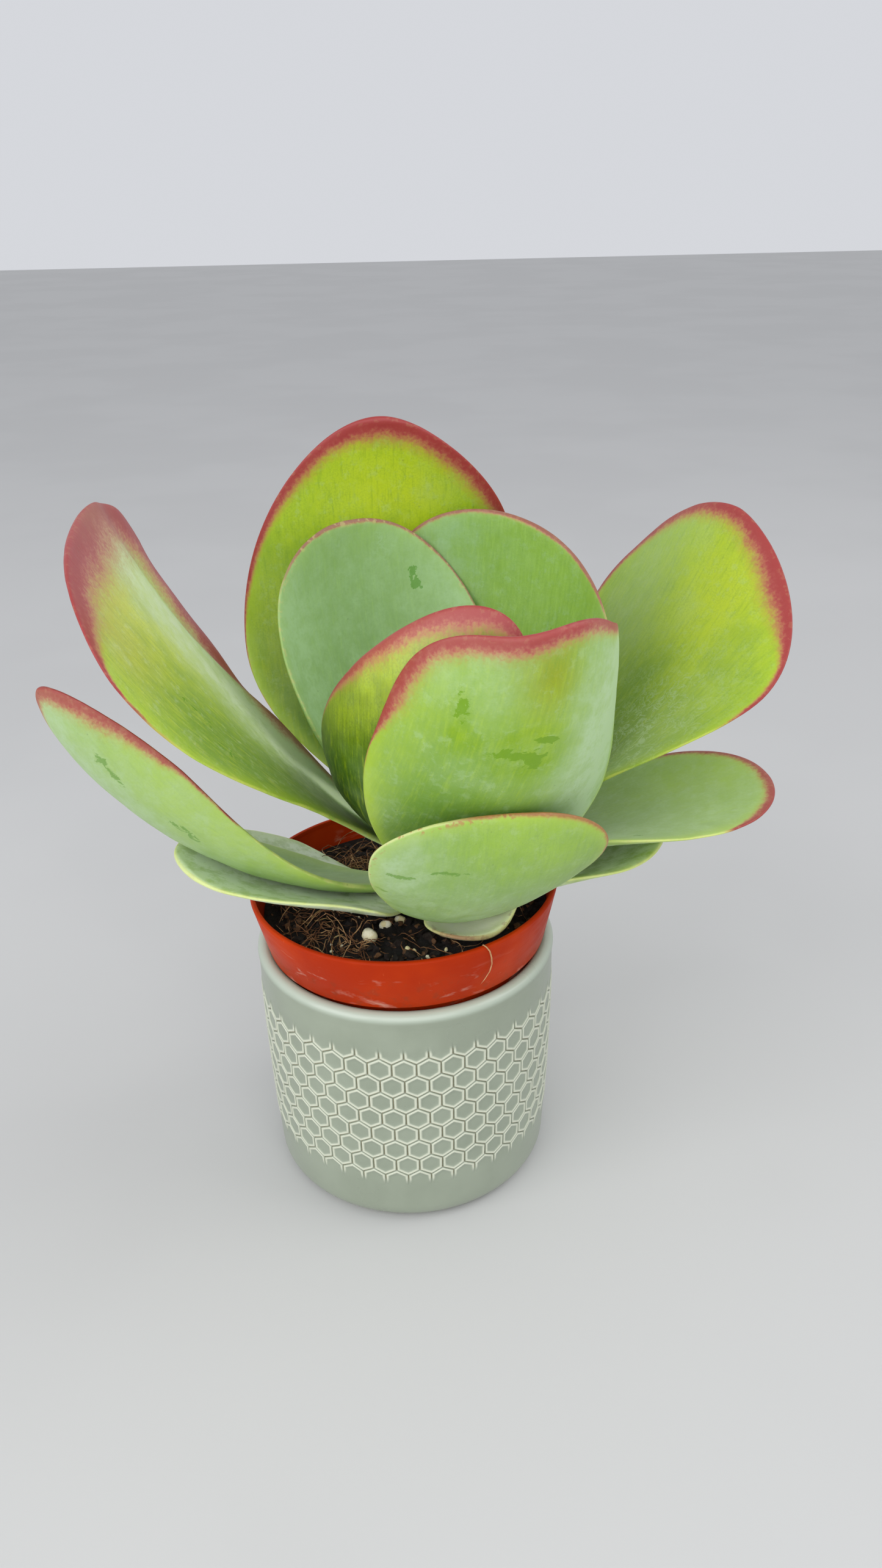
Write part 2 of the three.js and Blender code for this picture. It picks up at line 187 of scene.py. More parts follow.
for v in pot.verts:
    height = TOP_ROW_HEIGHT + v.co.y
    fade = (1 - smooth_share(height, *NECK_FADE)) * smooth_share(height, *FOOT_FADE)
    v[relief] = PLAIN_TONE + (v[relief] - PLAIN_TONE) * fade
    angle = TOP_ROW_TURN + 2 * math.pi * v.co.x / (CELL_COLUMNS * CELL_PITCH)
    radius = barrel_radius(height) + v.co.z * fade
    v.co = Vector((radius * math.sin(angle), -radius * math.cos(angle), height))
bmesh.ops.remove_doubles(pot, verts=pot.verts[:], dist=CELL_WELD)


def draw_out(form, edges, stations):
    # carries an open ring of edges along a wall's profile, one (radius, height) after another
    for radius, height in stations:
        drawn = bmesh.ops.extrude_edge_only(form, edges=edges)["geom"]
        for v in verts_of(drawn):
            outward = v.co.xy.normalized() * radius
            v.co = Vector((outward.x, outward.y, height))
        edges = open_edges(drawn)
    return edges


def close_at_axis(form, edges, height):
    ring = {v for e in edges for v in e.verts}
    bmesh.ops.pointmerge(form, verts=list(ring), merge_co=(0, 0, height))


rims = open_edges(pot.edges)
upper = [e for e in rims if e.verts[0].co.z > POT_BELLY.y]
lower = [e for e in rims if e.verts[0].co.z < POT_BELLY.y]
wall_up = [(barrel_radius(h), h) for h in NECK_RINGS]
wall_up += quarter(LIP_CENTRE.x, LIP_CENTRE.y, LIP_ROUND, 0, 180, LIP_STEPS)
wall_up += quarter(INNER_FOOT - INNER_ROUND, POT_FLOOR + INNER_ROUND, INNER_ROUND, 0, -90, INNER_STEPS)
wall_up += [(r, POT_FLOOR) for r in AXIS_RINGS]
wall_down = [(barrel_radius(h), h) for h in FOOT_RINGS]
wall_down += quarter(POT_FOOT.x - FOOT_ROUND, FOOT_ROUND, FOOT_ROUND, 0, -90, FOOT_STEPS)
wall_down += [(r, 0) for r in AXIS_RINGS]
close_at_axis(pot, draw_out(pot, upper, wall_up), POT_FLOOR)
close_at_axis(pot, draw_out(pot, lower, wall_down), 0)
bmesh.ops.recalc_face_normals(pot, faces=pot.faces[:])


class Finish:
    """A node material that is built up step by step."""

    def __init__(self, name):
        self.material = bpy.data.materials.new(name)
        self.material.use_nodes = True
        self.tree = self.material.node_tree
        self.shader = self.tree.nodes["Principled BSDF"]
        self.place = self.tree.nodes.new("ShaderNodeTexCoord").outputs["Object"]

    def set(self, **values):
        for key, value in values.items():
            self.feed(self.shader.inputs[key.replace("_", " ").title()], value)

    def feed(self, socket, value):
        if isinstance(value, bpy.types.NodeSocket):
            self.tree.links.new(value, socket)
        elif socket.type == "RGBA":
            socket.default_value = (*value, 1)
        else:
            socket.default_value = value

    def math(self, kind, a, b=0.0):
        node = self.tree.nodes.new("ShaderNodeMath")
        node.operation = kind
        for socket, value in zip(node.inputs, (a, b)):
            self.feed(socket, value)
        return node.outputs[0]

    def plus(self, a, b):
        return self.math("ADD", a, b)

    def swing(self, grain):
        return self.math("SUBTRACT", grain, 0.5)

    def times(self, a, b):
        return self.math("MULTIPLY", a, b)

    def blend(self, share, a, b):
        node = self.tree.nodes.new("ShaderNodeMix")
        node.data_type = "RGBA"
        node.clamp_factor = True
        self.feed(node.inputs[0], share)
        self.feed(node.inputs[6], a)
        self.feed(node.inputs[7], b)
        return node.outputs[2]

    def remap(self, value, low, high, to_low=0.0, to_high=1.0):
        node = self.tree.nodes.new("ShaderNodeMapRange")
        node.interpolation_type = "SMOOTHSTEP"
        for socket, v in zip(node.inputs, (value, low, high, to_low, to_high)):
            self.feed(socket, v)
        return node.outputs[0]

    def stretch(self, scale, source=None, turn=(0, 0, 0)):
        node = self.tree.nodes.new("ShaderNodeMapping")
        self.feed(node.inputs["Vector"], self.place if source is None else source)
        node.inputs["Scale"].default_value = scale
        node.inputs["Rotation"].default_value = turn
        return node.outputs[0]

    def grain(self, scale, detail=3.0, rough=0.55, source=None, warp=0.0):
        node = self.tree.nodes.new("ShaderNodeTexNoise")
        self.feed(node.inputs["Vector"], self.place if source is None else source)
        node.inputs["Scale"].default_value = scale
        node.inputs["Detail"].default_value = detail
        node.inputs["Roughness"].default_value = rough
        node.inputs["Distortion"].default_value = warp
        return node.outputs[0]

    def spots(self, scale, source=None):
        node = self.tree.nodes.new("ShaderNodeTexVoronoi")
        self.feed(node.inputs["Vector"], self.place if source is None else source)
        node.inputs["Scale"].default_value = scale
        return node.outputs["Distance"], node.outputs["Color"]

    def attribute(self, name):
        node = self.tree.nodes.new("ShaderNodeAttribute")
        node.attribute_name = name
        return node.outputs["Fac"]

    def part(self, vector, axis):
        node = self.tree.nodes.new("ShaderNodeSeparateXYZ")
        self.feed(node.inputs[0], vector)
        return node.outputs[axis]

    def bump(self, height, strength, depth):
        node = self.tree.nodes.new("ShaderNodeBump")
        node.inputs["Strength"].default_value = strength
        node.inputs["Distance"].default_value = depth
        self.feed(node.inputs["Height"], height)
        return node.outputs[0]


def ink(red, green, blue):
    # a colour as given, turned into light
    return tuple(((c / 255 + 0.055) / 1.055) ** 2.4 if c > 10 else c / 255 / 12.92
                 for c in (red, green, blue))


SAGE = ink(147, 156, 138)
SAGE_DEEP = ink(140, 149, 131)
# painted highlight colour for the lip
LIP_HIGHLIGHT = ink(192, 204, 190)
# cream of the cell rims: partly the glaze's own tone, partly a painted highlight
RIM_CREAM_AND_HIGHLIGHT = ink(202, 206, 186)
GROOVE_TAN = ink(142, 134, 106)
BISCUIT = ink(196, 182, 158)

glaze = Finish("sage_glaze")
cloud = glaze.grain(38, 3)
fine = glaze.grain(420, 2)
body = glaze.blend(glaze.remap(cloud, 0.35, 0.68), SAGE_DEEP, SAGE)
height_in_cell = glaze.attribute("relief")
# painted highlight on the raised cell rims, laid over a real paler glaze tone there
rim_cream_and_highlight_share = glaze.remap(glaze.plus(height_in_cell, glaze.times(fine, 0.10)), -0.06, 0.32)
body = glaze.blend(rim_cream_and_highlight_share, body, RIM_CREAM_AND_HIGHLIGHT)
groove_share = glaze.remap(height_in_cell, -0.22, -0.44)
body = glaze.blend(groove_share, body, GROOVE_TAN)
edge_height = glaze.part(glaze.place, 2)
# painted highlight: a pale band along the lip's top and the upper outside of its roll
lip_highlight_share = glaze.remap(edge_height, 0.0980, 0.1012)
body = glaze.blend(glaze.times(lip_highlight_share, 0.7), body, LIP_HIGHLIGHT)
pinhole, _ = glaze.spots(900)
pinhole_share = glaze.times(glaze.remap(pinhole, 0.10, 0.04), glaze.remap(glaze.grain(160), 0.66, 0.74))
body = glaze.blend(glaze.times(pinhole_share, 0.3), body, GROOVE_TAN)
under = glaze.remap(edge_height, 0.0007, 0.0003)
body = glaze.blend(under, body, BISCUIT)
gloss_loss = glaze.plus(glaze.times(under, 0.45), glaze.remap(cloud, 0.3, 0.7, 0.27, 0.36))
glaze.set(base_color=body, roughness=gloss_loss)
glaze.shader.inputs["Specular IOR Level"].default_value = 0.5
glaze.shader.inputs["Coat Weight"].default_value = 0.25
glaze.shader.inputs["Coat Roughness"].default_value = 0.12
orange_peel = glaze.plus(glaze.grain(260, 2), glaze.times(glaze.grain(90, 2), 1.6))
glaze.set(normal=glaze.bump(orange_peel, 0.12, 0.0004))

cachepot = finish_piece("honeycomb_cachepot", pot)
cachepot.data.materials.append(glaze.material)
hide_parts("cachepot")

# ----------------------------------------------------------
# Nursery pot. Thin orange-red moulded plastic, with a deep flared collar, a tapered body below
# and drain holes in its floor. It hangs in the cachepot by the collar and leans a little.
# ----------------------------------------------------------
RIM_HEIGHT = 126 * MM
LEAN = math.radians(1.3)
NURSERY_PROFILE = [(0, -106), (42, -106), (51.6, -22.6), (54.9, -22.6), (60, -0.7), (59.3, 0), (58, 0),
                   (58, -2), (53.3, -21), (50, -21), (40.4, -104.4), (0, -104.4)]
NURSERY_SIDES = 160
NURSERY_SOFTNESS = 0.28 * MM
DRAIN_HOLES = 5
DRAIN_CIRCLE = 26 * MM
DRAIN_RADIUS = 4 * MM
DRAIN_HEIGHT = -105.2 * MM
DRILL_LENGTH = 6 * MM
WELD = 0.01 * MM
SEAT = Matrix.Translation((0, 0, RIM_HEIGHT)) @ Matrix.Rotation(-LEAN, 4, "Y")


def half_profile(points):
    form = bmesh.new()
    line = [form.verts.new((radius, 0, height)) for radius, height in points]
    for a, b in zip(line, line[1:]):
        form.edges.new((a, b))
    return form, line


def turned(form, sides):
    # spins a half profile round the upright axis into a closed body
    bmesh.ops.spin(form, geom=form.verts[:] + form.edges[:], cent=(0, 0, 0), axis=(0, 0, 1),
                   angle=2 * math.pi, steps=sides, use_merge=True)
    bmesh.ops.remove_doubles(form, verts=form.verts[:], dist=WELD)
    bmesh.ops.recalc_face_normals(form, faces=form.faces[:])


shell, line = half_profile([(r * MM, h * MM) for r, h in NURSERY_PROFILE])
bmesh.ops.bevel(shell, geom=line[1:-1], offset=NURSERY_SOFTNESS, offset_type="OFFSET", segments=2,
                profile=0.5, affect="VERTICES", material=-1)
turned(shell, NURSERY_SIDES)
drills = bmesh.new()
for i in range(DRAIN_HOLES):
    turn = 2 * math.pi * i / DRAIN_HOLES
    spot = (DRAIN_CIRCLE * math.cos(turn), DRAIN_CIRCLE * math.sin(turn), DRAIN_HEIGHT)
    bmesh.ops.create_cone(drills, cap_ends=True, segments=32, radius1=DRAIN_RADIUS, radius2=DRAIN_RADIUS,
                          depth=DRILL_LENGTH, matrix=Matrix.Translation(spot))
drill, blank = shown("drain_drills", drills), shown("nursery_shell", shell)
cut = blank.modifiers.new("drain", "BOOLEAN")
cut.operation = "DIFFERENCE"
cut.object = drill
cut.solver = "EXACT"
drilled = bmesh.new()
drilled.from_object(blank, bpy.context.evaluated_depsgraph_get())
bmesh.ops.transform(drilled, matrix=SEAT, verts=drilled.verts[:])
for o in (drill, blank):
    bpy.data.objects.remove(o)

PLASTIC = ink(184, 54, 4)
PLASTIC_DEEP = ink(166, 42, 2)
PLASTIC_PALE = ink(206, 104, 66)
SCUFF = ink(214, 176, 158)
DUST = ink(96, 60, 40)

plastic = Finish("red_plastic")
plastic_cloud = plastic.grain(30, 3)
colour = plastic.blend(plastic.remap(plastic_cloud, 0.35, 0.68), PLASTIC_DEEP, PLASTIC)
above = plastic.part(plastic.place, 2)
smear = plastic.grain(60, 4, 0.6, plastic.stretch((1, 1, 3.2)), 0.6)
smear_share = plastic.times(plastic.remap(smear, 0.55, 0.72), plastic.remap(above, 0.1225, 0.112))
colour = plastic.blend(plastic.times(smear_share, 0.52), colour, SCUFF)
scratch = plastic.grain(520, 3, 0.7, plastic.stretch((1, 1, 0.12), turn=(0.3, 0.2, 0.1)))
scratch_share = plastic.remap(scratch, 0.66, 0.74)
colour = plastic.blend(plastic.times(scratch_share, 0.35), colour, PLASTIC_PALE)
grime = plastic.times(plastic.remap(plastic.grain(240, 4), 0.52, 0.66), plastic.remap(above, 0.121, 0.108))
colour = plastic.blend(plastic.times(grime, 0.25), colour, DUST)
plastic.set(base_color=colour, roughness=plastic.remap(smear, 0.4, 0.75, 0.40, 0.62))
plastic.shader.inputs["Specular IOR Level"].default_value = 0.1
plastic.set(normal=plastic.bump(plastic.plus(plastic.grain(900, 2), scratch), 0.12, 0.0002))

nursery = finish_piece("nursery_pot_moulded", drilled)
nursery.data.materials.append(plastic.material)
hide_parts("nursery_pot")

# ----------------------------------------------------------
# Soil. Near-black peat compost that fills the nursery pot to a finger below its rim, settled into
# clods by watering, with a plain hole where the stem stands.
# ----------------------------------------------------------
SOIL_TOP = -11 * MM
SOIL_EDGE = 55.4 * MM
SOIL_CELL = 0.8 * MM
EDGE_TRIM = 0.35
SOIL_WALL = [(53.0, -20.7), (49.7, -20.7), (40.1, -104.1), (10, -104.1)]
STEM_PLACE = Vector((11, -5)) * MM
HOLE_RADIUS = 6.8 * MM
HOLE_FLOOR = 93.7 * MM
SOIL_WAVE = 0.9 * MM
BROAD_WAVE = 48 * MM
SMALL_WAVE = 17 * MM
# height and spread of the rough surface and of its clods, in millimetres
ROUGH_HEIGHT, ROUGH_SPREAD = 0.95, 4.4
CLOD_HEIGHT, CLOD_SPREAD, CLOD_LEVEL = 1.5, 3.4, 0.45


def soil_lift(x, y):
    lump = 2 * math.pi / BROAD_WAVE
    clod = 2 * math.pi / SMALL_WAVE
    broad = math.sin(x * lump + 1) * math.cos(y * lump)
    small = math.sin((x - y / 2) * clod) * math.cos((y + x / 2) * clod + 2)
    return SOIL_WAVE * (broad + small)


def crumb_lift(x, y):
    spot = Vector((x, y, 0)) / MM
    rough = ROUGH_HEIGHT * noise.fractal(spot / ROUGH_SPREAD, 0.8, 2.1, 4)
    clods = CLOD_HEIGHT * (CLOD_LEVEL - noise.voronoi(spot / CLOD_SPREAD)[0][0])
    return (rough + clods) * MM


def bed_height(x, y):
    near_edge = smooth_share(math.hypot(x, y), SOIL_EDGE - 3 * MM, SOIL_EDGE)
    return SOIL_TOP + (soil_lift(x, y) + crumb_lift(x, y)) * (1 - near_edge)


bed = bmesh.new()
cells = int(2 * SOIL_EDGE / SOIL_CELL)
bmesh.ops.create_grid(bed, x_segments=cells, y_segments=cells, size=SOIL_EDGE)
kept_reach = SOIL_EDGE - SOIL_CELL * EDGE_TRIM
outside = [f for f in bed.faces if any(v.co.xy.length > kept_reach for v in f.verts)]
bmesh.ops.delete(bed, geom=outside, context="FACES")
for e in open_edges(bed.edges):
    for v in e.verts:
        v.co.xy = v.co.xy.normalized() * SOIL_EDGE
for v in bed.verts:
    v.co.z = bed_height(v.co.x, v.co.y)
bed_rim = open_edges(bed.edges)
wall = [(r * MM, h * MM) for r, h in SOIL_WALL]
close_at_axis(bed, draw_out(bed, bed_rim, wall), wall[-1][1])
bmesh.ops.recalc_face_normals(bed, faces=bed.faces[:])
bmesh.ops.transform(bed, matrix=SEAT, verts=bed.verts[:])
for v in bed.verts:
    if (v.co.xy - STEM_PLACE).length < HOLE_RADIUS and v.co.z > HOLE_FLOOR:
        v.co.z = HOLE_FLOOR

PEAT = ink(14, 10, 7)
PEAT_BROWN = ink(32, 22, 14)
PEAT_GREY = ink(66, 52, 38)
peat = Finish("peat_compost")
peat_grain = peat.grain(300, 5, 0.7)
tone = peat.blend(peat.remap(peat_grain, 0.42, 0.66), PEAT, PEAT_BROWN)
tone = peat.blend(peat.times(peat.remap(peat.grain(1100, 3), 0.62, 0.72), 0.6), tone, PEAT_GREY)
peat.set(base_color=tone, roughness=peat.remap(peat_grain, 0.3, 0.7, 0.78, 0.98))
peat.set(normal=peat.bump(peat.grain(900, 5, 0.75), 0.9, 0.0012))
soil = finish_piece("peat_soil", bed)
soil.data.materials.append(peat.material)
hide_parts("soil")

# ----------------------------------------------------------
# Stem. One short thick green-brown stem, ringed with the scars of old leaves, that stands in the
# soil and carries every leaf.
# ----------------------------------------------------------
STEM_FOOT = 94 * MM
STEM_SOIL = 115 * MM
STEM_TIP = 158.5 * MM
STEM_FOOT_RADIUS = 6.5 * MM
STEM_TIP_RADIUS = 4 * MM
STEM_NODES = 6
STEM_SWELLING = 0.4 * MM
STEM_SIDES = 48
STEM_SLACK = 0.2 * MM

outline = [(0, STEM_FOOT), (STEM_FOOT_RADIUS - STEM_SLACK, STEM_FOOT),
           (STEM_FOOT_RADIUS - STEM_SLACK, STEM_SOIL)]
for i in range(1, STEM_NODES * 6 + 1):
    share = i / (STEM_NODES * 6)
    radius = STEM_FOOT_RADIUS + (STEM_TIP_RADIUS - STEM_FOOT_RADIUS) * share - STEM_SLACK
    waist = STEM_SWELLING * (0.5 + 0.5 * math.cos(share * STEM_NODES * 2 * math.pi))
    outline.append((radius - waist, STEM_SOIL + (STEM_TIP - STEM_TIP_RADIUS - STEM_SOIL) * share))
outline += [(STEM_TIP_RADIUS / 2, STEM_TIP), (0, STEM_TIP)]
trunk, _ = half_profile(outline)
turned(trunk, STEM_SIDES)
bmesh.ops.translate(trunk, verts=trunk.verts[:], vec=(STEM_PLACE.x, STEM_PLACE.y, 0))

bark = Finish("stem_skin")
bark_cloud = bark.grain(180, 4)
bark_tone = bark.blend(bark.remap(bark_cloud, 0.4, 0.62), ink(116, 132, 74), ink(150, 150, 104))
scar_share = bark.remap(bark.grain(240, 3, 0.6, bark.stretch((0.2, 0.2, 2.6))), 0.56, 0.66)
bark_tone = bark.blend(scar_share, bark_tone, ink(122, 96, 66))
bark.set(base_color=bark_tone, roughness=bark.remap(bark_cloud, 0.3, 0.7, 0.55, 0.75))
bark.set(normal=bark.bump(bark.grain(420, 4), 0.4, 0.0005))
stem = finish_piece("ringed_stem", trunk)
stem.data.materials.append(bark.material)
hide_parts("stem")

# ----------------------------------------------------------
# Leaves. Broad fleshy paddles in pairs up the stem, each 3 to 5 mm thick with a rounded margin.
# The skin is lime to blue-green under a pale wax bloom that rubs off where it is touched, and the
# margins that had the most sun blush red.
# ----------------------------------------------------------
# a blade is worked out in millimetres and made metres when its points are set
SPINE_STEPS = 96
BASE_REACH = 4
TIP_THICKNESS = 2.8
EDGE_FULLNESS = 0.7
SHOULDER = 1.6
TIP_ROUND = 2.2
EDGE_SAMPLES = 160
EDGE_RUN_OFF = 1.0001
LEAF_FOOT = (11, -5)
SWELL = 0.30
SWELL_SPREAD = 22
SWELL_START = (0.05, 0.3)
CHART_SPAN = 100
LEAF_GRID = 96
BUD_GRID = 40

# each blade's midrib and outline, in millimetres and degrees; a pair is its value at base and tip
BLADE_SIZES = ("heading", "turn", "height", "rise", "ease", "length", "width", "base",
               "widest", "roundness", "cup", "belly", "roll", "slant")
BLADE_TABLE = {
    "leaf_front_base": (286, 45, 118.5, (-7, 14), 0.45, 37, 28, (6, 3.5),
        0.77, 1.5, (0, 63), -10, (-22, 10), 0.64),
    "leaf_left_base": (182, 15, 120, (3, 27), 0.95, 94, 76, (13, 4.5),
        0.4, 2.15, (-8, 20), 21, (14, 3), -0.27),
    "leaf_right_base": (350, 13, 120.5, (4, 26), 0.65, 89, 56, (11, 4),
        0.68, 1.95, (54, -5), 15, (-5, -10), 0.15),
    "leaf_front_low": (278, 20, 125, (6, 90), 1.3, 113, 84, (13, 4.5),
        0.79, 2.45, (80, 7), -7, (0, -11), -0.11),
    "leaf_right_low": (-2, 3, 128.5, (17, 19), 1.55, 129, 81, (13, 4.5),
        0.56, 2, (52, 10), -10, (-27, 8), -0.13),
    "leaf_left_low": (196, -25, 128.5, (-5, 68), 0.9, 169, 69, (12, 4.4),
        0.56, 1.55, (80, 51), -12, (11.5, 57), 0.47),
    "leaf_back_tall": (105, -7, 130.4, (50.5, 107), 1.6, 177.8, 115, (12.5, 4),
        0.54, 1.8, (-10, 41), -40, (24, -10), -0.03),
    "leaf_right_large": (17, 11, 137, (12, 63), 0.65, 179, 119, (13, 5),
        0.71, 1.65, (70, -31), 0, (-17, 2), 0.18),
    "leaf_left_large": (199, -4, 139.5, (29, 62), 0.5, 177, 131, (13, 5),
        0.8, 2.45, (82, 9), -38, (0, -11), 0.02),
    "leaf_front_tall": (278, 45, 145.4, (-4, 86), 0.65, 158, 103, (13, 5),
        0.6, 3.05, (-10, 80), 14, (-7, -25), -0.02),
    "leaf_right_inner": (47, -5, 144.5, (17, 87), 0.45, 128, 103, (13, 5),
        0.63, 2.1, (100, 47), -36, (6, 19), 0.25),
    "leaf_back_inner": (124, 8, 149.5, (51, 97), 1.3, 120, 98, (13, 5),
        0.46, 2.25, (100, 23), 1, (-15, -6), 0.04),
    "leaf_left_inner": (251, 12, 154, (8, 116), 1.15, 123, 99, (13, 5),
        0.75, 2.9, (87, 40), 1, (2, -41), 0.46),
    "bud_leaf_front": (320, 0, 157, (62, 98), 1, 30, 17, (6, 3), 0.5, 2, (70, 50), 0, (0, 0), 0),
    "bud_leaf_back": (140, 0, 157, (66, 96), 1, 27, 15, (6, 3), 0.5, 2, (70, 50), 0, (0, 0), 0),
}
BLADES = {node: dict(zip(BLADE_SIZES, row)) for node, row in BLADE_TABLE.items()}


def between(pair, share):
    return pair[0] + (pair[1] - pair[0]) * share


def midrib(blade):
    heading = math.radians(blade["heading"])
    point = Vector((LEAF_FOOT[0] + BASE_REACH * math.cos(heading),
                    LEAF_FOOT[1] + BASE_REACH * math.sin(heading), blade["height"]))
    stations = []
    for i in range(SPINE_STEPS + 1):
        t = i / SPINE_STEPS
        bearing = math.radians(blade["heading"] + blade["turn"] * t)
        rise = math.radians(between(blade["rise"], t ** blade["ease"]))
        along = Vector((math.cos(rise) * math.cos(bearing), math.cos(rise) * math.sin(bearing),
                        math.sin(rise)))
        across = Vector((-math.sin(bearing), math.cos(bearing), 0))
        across.rotate(Matrix.Rotation(math.radians(between(blade["roll"], t)), 3, along))
        if i:
            point = point + along * (blade["length"] / SPINE_STEPS)
        stations.append((point, along, across, along.cross(across)))
    return stations


def half_width(blade, t):
    base = blade["base"][0] / blade["width"]
    half = blade["width"] / 2
    if t < blade["widest"]:
        return half * (base + (1 - base) * math.sin(math.pi / 2 * t / blade["widest"]) ** SHOULDER)
    beyond = min((t - blade["widest"]) / (1 - blade["widest"]), 1)
    return half * (1 - beyond ** blade["roundness"]) ** (1 / blade["roundness"])


def blade_point(blade, stations, t, s, lift):
    at = min(int(t * SPINE_STEPS), SPINE_STEPS - 1)
    point, along, across, upper = (a.lerp(b, t * SPINE_STEPS - at)
                                   for a, b in zip(stations[at], stations[at + 1]))
    cup = math.radians(between(blade["cup"], t) + blade["belly"] * 4 * t * (1 - t))
    radius = blade["width"] / 2 / (cup if abs(cup) > 1e-3 else 1e-3)
    width = half_width(blade, t)
    angle = s * width / radius
    depth = radius - lift
    return (point + across * depth * math.sin(angle) + upper * (radius - depth * math.cos(angle))
            + along * blade["slant"] * s * width)


def fitted_in(form, node):
    # a piece that stands for a node stays inside that node's box
    low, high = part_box(node)
    for axis in range(3):
        values = [v.co[axis] for v in form.verts]
        least, most = min(values), max(values)
        share = min(1, (high[axis] - low[axis]) / (most - least))
        middle = (least + most) / 2
        half = (most - least) * share / 2
        shift = 0
        if middle - half < low[axis]:
            shift = low[axis] - (middle - half)
        if middle + half > high[axis]:
            shift = high[axis] - (middle + half)
        for v in form.verts:
            v.co[axis] = middle + (v.co[axis] - middle) * share + shift


def around_edge(widths, share):
    # value at a share of the way round the margin, from one side of the base over the tip to the other
    at = min(share * (len(widths) - 1), len(widths) - EDGE_RUN_OFF)
    low = int(at)
    mix = at - low
    mix = mix * mix * (3 - 2 * mix)
    return widths[low] + (widths[low + 1] - widths[low]) * mix


def near_patch(blade, t, across, at_t, at_s, reach_t, reach_s):
    # 1 in the middle of a soft patch on the blade, falling to 0 around it
    gap_t = (t - at_t) * blade["length"] / reach_t
    gap_s = (across - at_s * half_width(blade, at_t)) / reach_s
    return math.exp(-gap_t * gap_t - gap_s * gap_s)


def grow_leaf(name, blade, skin, grid):
    stations = midrib(blade)
    length = blade["length"]
    edge = []
    for side in (1, -1):
        steps = [math.sin(math.pi / 2 * i / EDGE_SAMPLES) for i in range(EDGE_SAMPLES + 1)]
        half = [Vector((side * half_width(blade, t), t * length, 0)) for t in steps]
        edge += half if side == 1 else half[::-1][1:]
    walked = [0.0]
    for a, b in zip(edge, edge[1:]):
        walked.append(walked[-1] + (b - a).length)
    finder = kdtree.KDTree(len(edge))
    for i, spot in enumerate(edge):
        finder.insert(spot, i)
    finder.balance()

    form = bmesh.new()
    bmesh.ops.create_uvsphere(form, u_segments=grid, v_segments=grid, radius=1)
    margin = form.verts.layers.float.new("margin")
    blush = form.verts.layers.float.new("blush")
    paint = {key: form.verts.layers.float.new(key) for key in MARK_KINDS}
    chart = {}
    seed = Vector((len(name) * 3.1, blade["heading"], blade["length"]))
    for v in form.verts:
        t = min(max((1 - v.co.z) / 2, 0), 1)
        turn = math.atan2(v.co.y, v.co.x)
        s = math.cos(turn) if v.co.xy.length > 1e-6 else 0.0
        side = math.copysign(abs(math.sin(turn)) ** EDGE_FULLNESS, math.sin(turn))
        if v.co.xy.length < 1e-6:
            side = 0.0
        near_tip = 1 - min((1 - t) * length / TIP_ROUND, 1)
        thick = between((blade["base"][1], TIP_THICKNESS), t) / 2 * math.sqrt(1 - near_tip ** 2)
        flat = Vector((s * half_width(blade, t), t * length, 0))
        _, nearest, distance = finder.find(flat)
        share = walked[nearest] / walked[-1]
        swell = SWELL * noise.fractal(flat / SWELL_SPREAD + seed, 1, 2, 3) * smooth_share(t, *SWELL_START)
        tuck = 0.0
        for *patch, lift, shift in skin.get("folds", []):
            nearness = near_patch(blade, t, flat.x, *patch)
            swell += lift * nearness
            tuck += shift * nearness
        rib = stations[min(int(t * SPINE_STEPS), SPINE_STEPS)][1]
        v.co = (blade_point(blade, stations, t, s, side * thick + swell) + rib * tuck) * MM
        v[margin] = distance
        v[blush] = around_edge(skin["blush"], share)
        chart[v] = flat
        sums = dict.fromkeys(MARK_KINDS, 0.0)
        sums["bloom"] = skin["haze"]
        for kind, *patch, strength in skin.get("marks", []):
            sums[kind] += strength * near_patch(blade, t, flat.x, *patch)
        for kind, total in sums.items():
            v[paint[kind]] = max(total, 0)
    plan = form.loops.layers.uv.new("blade")
    for f in form.faces:
        for loop in f.loops:
            loop[plan].uv = chart[loop.vert].xy / CHART_SPAN
    bmesh.ops.recalc_face_normals(form, faces=form.faces[:])
    fitted_in(form, name)
    return form


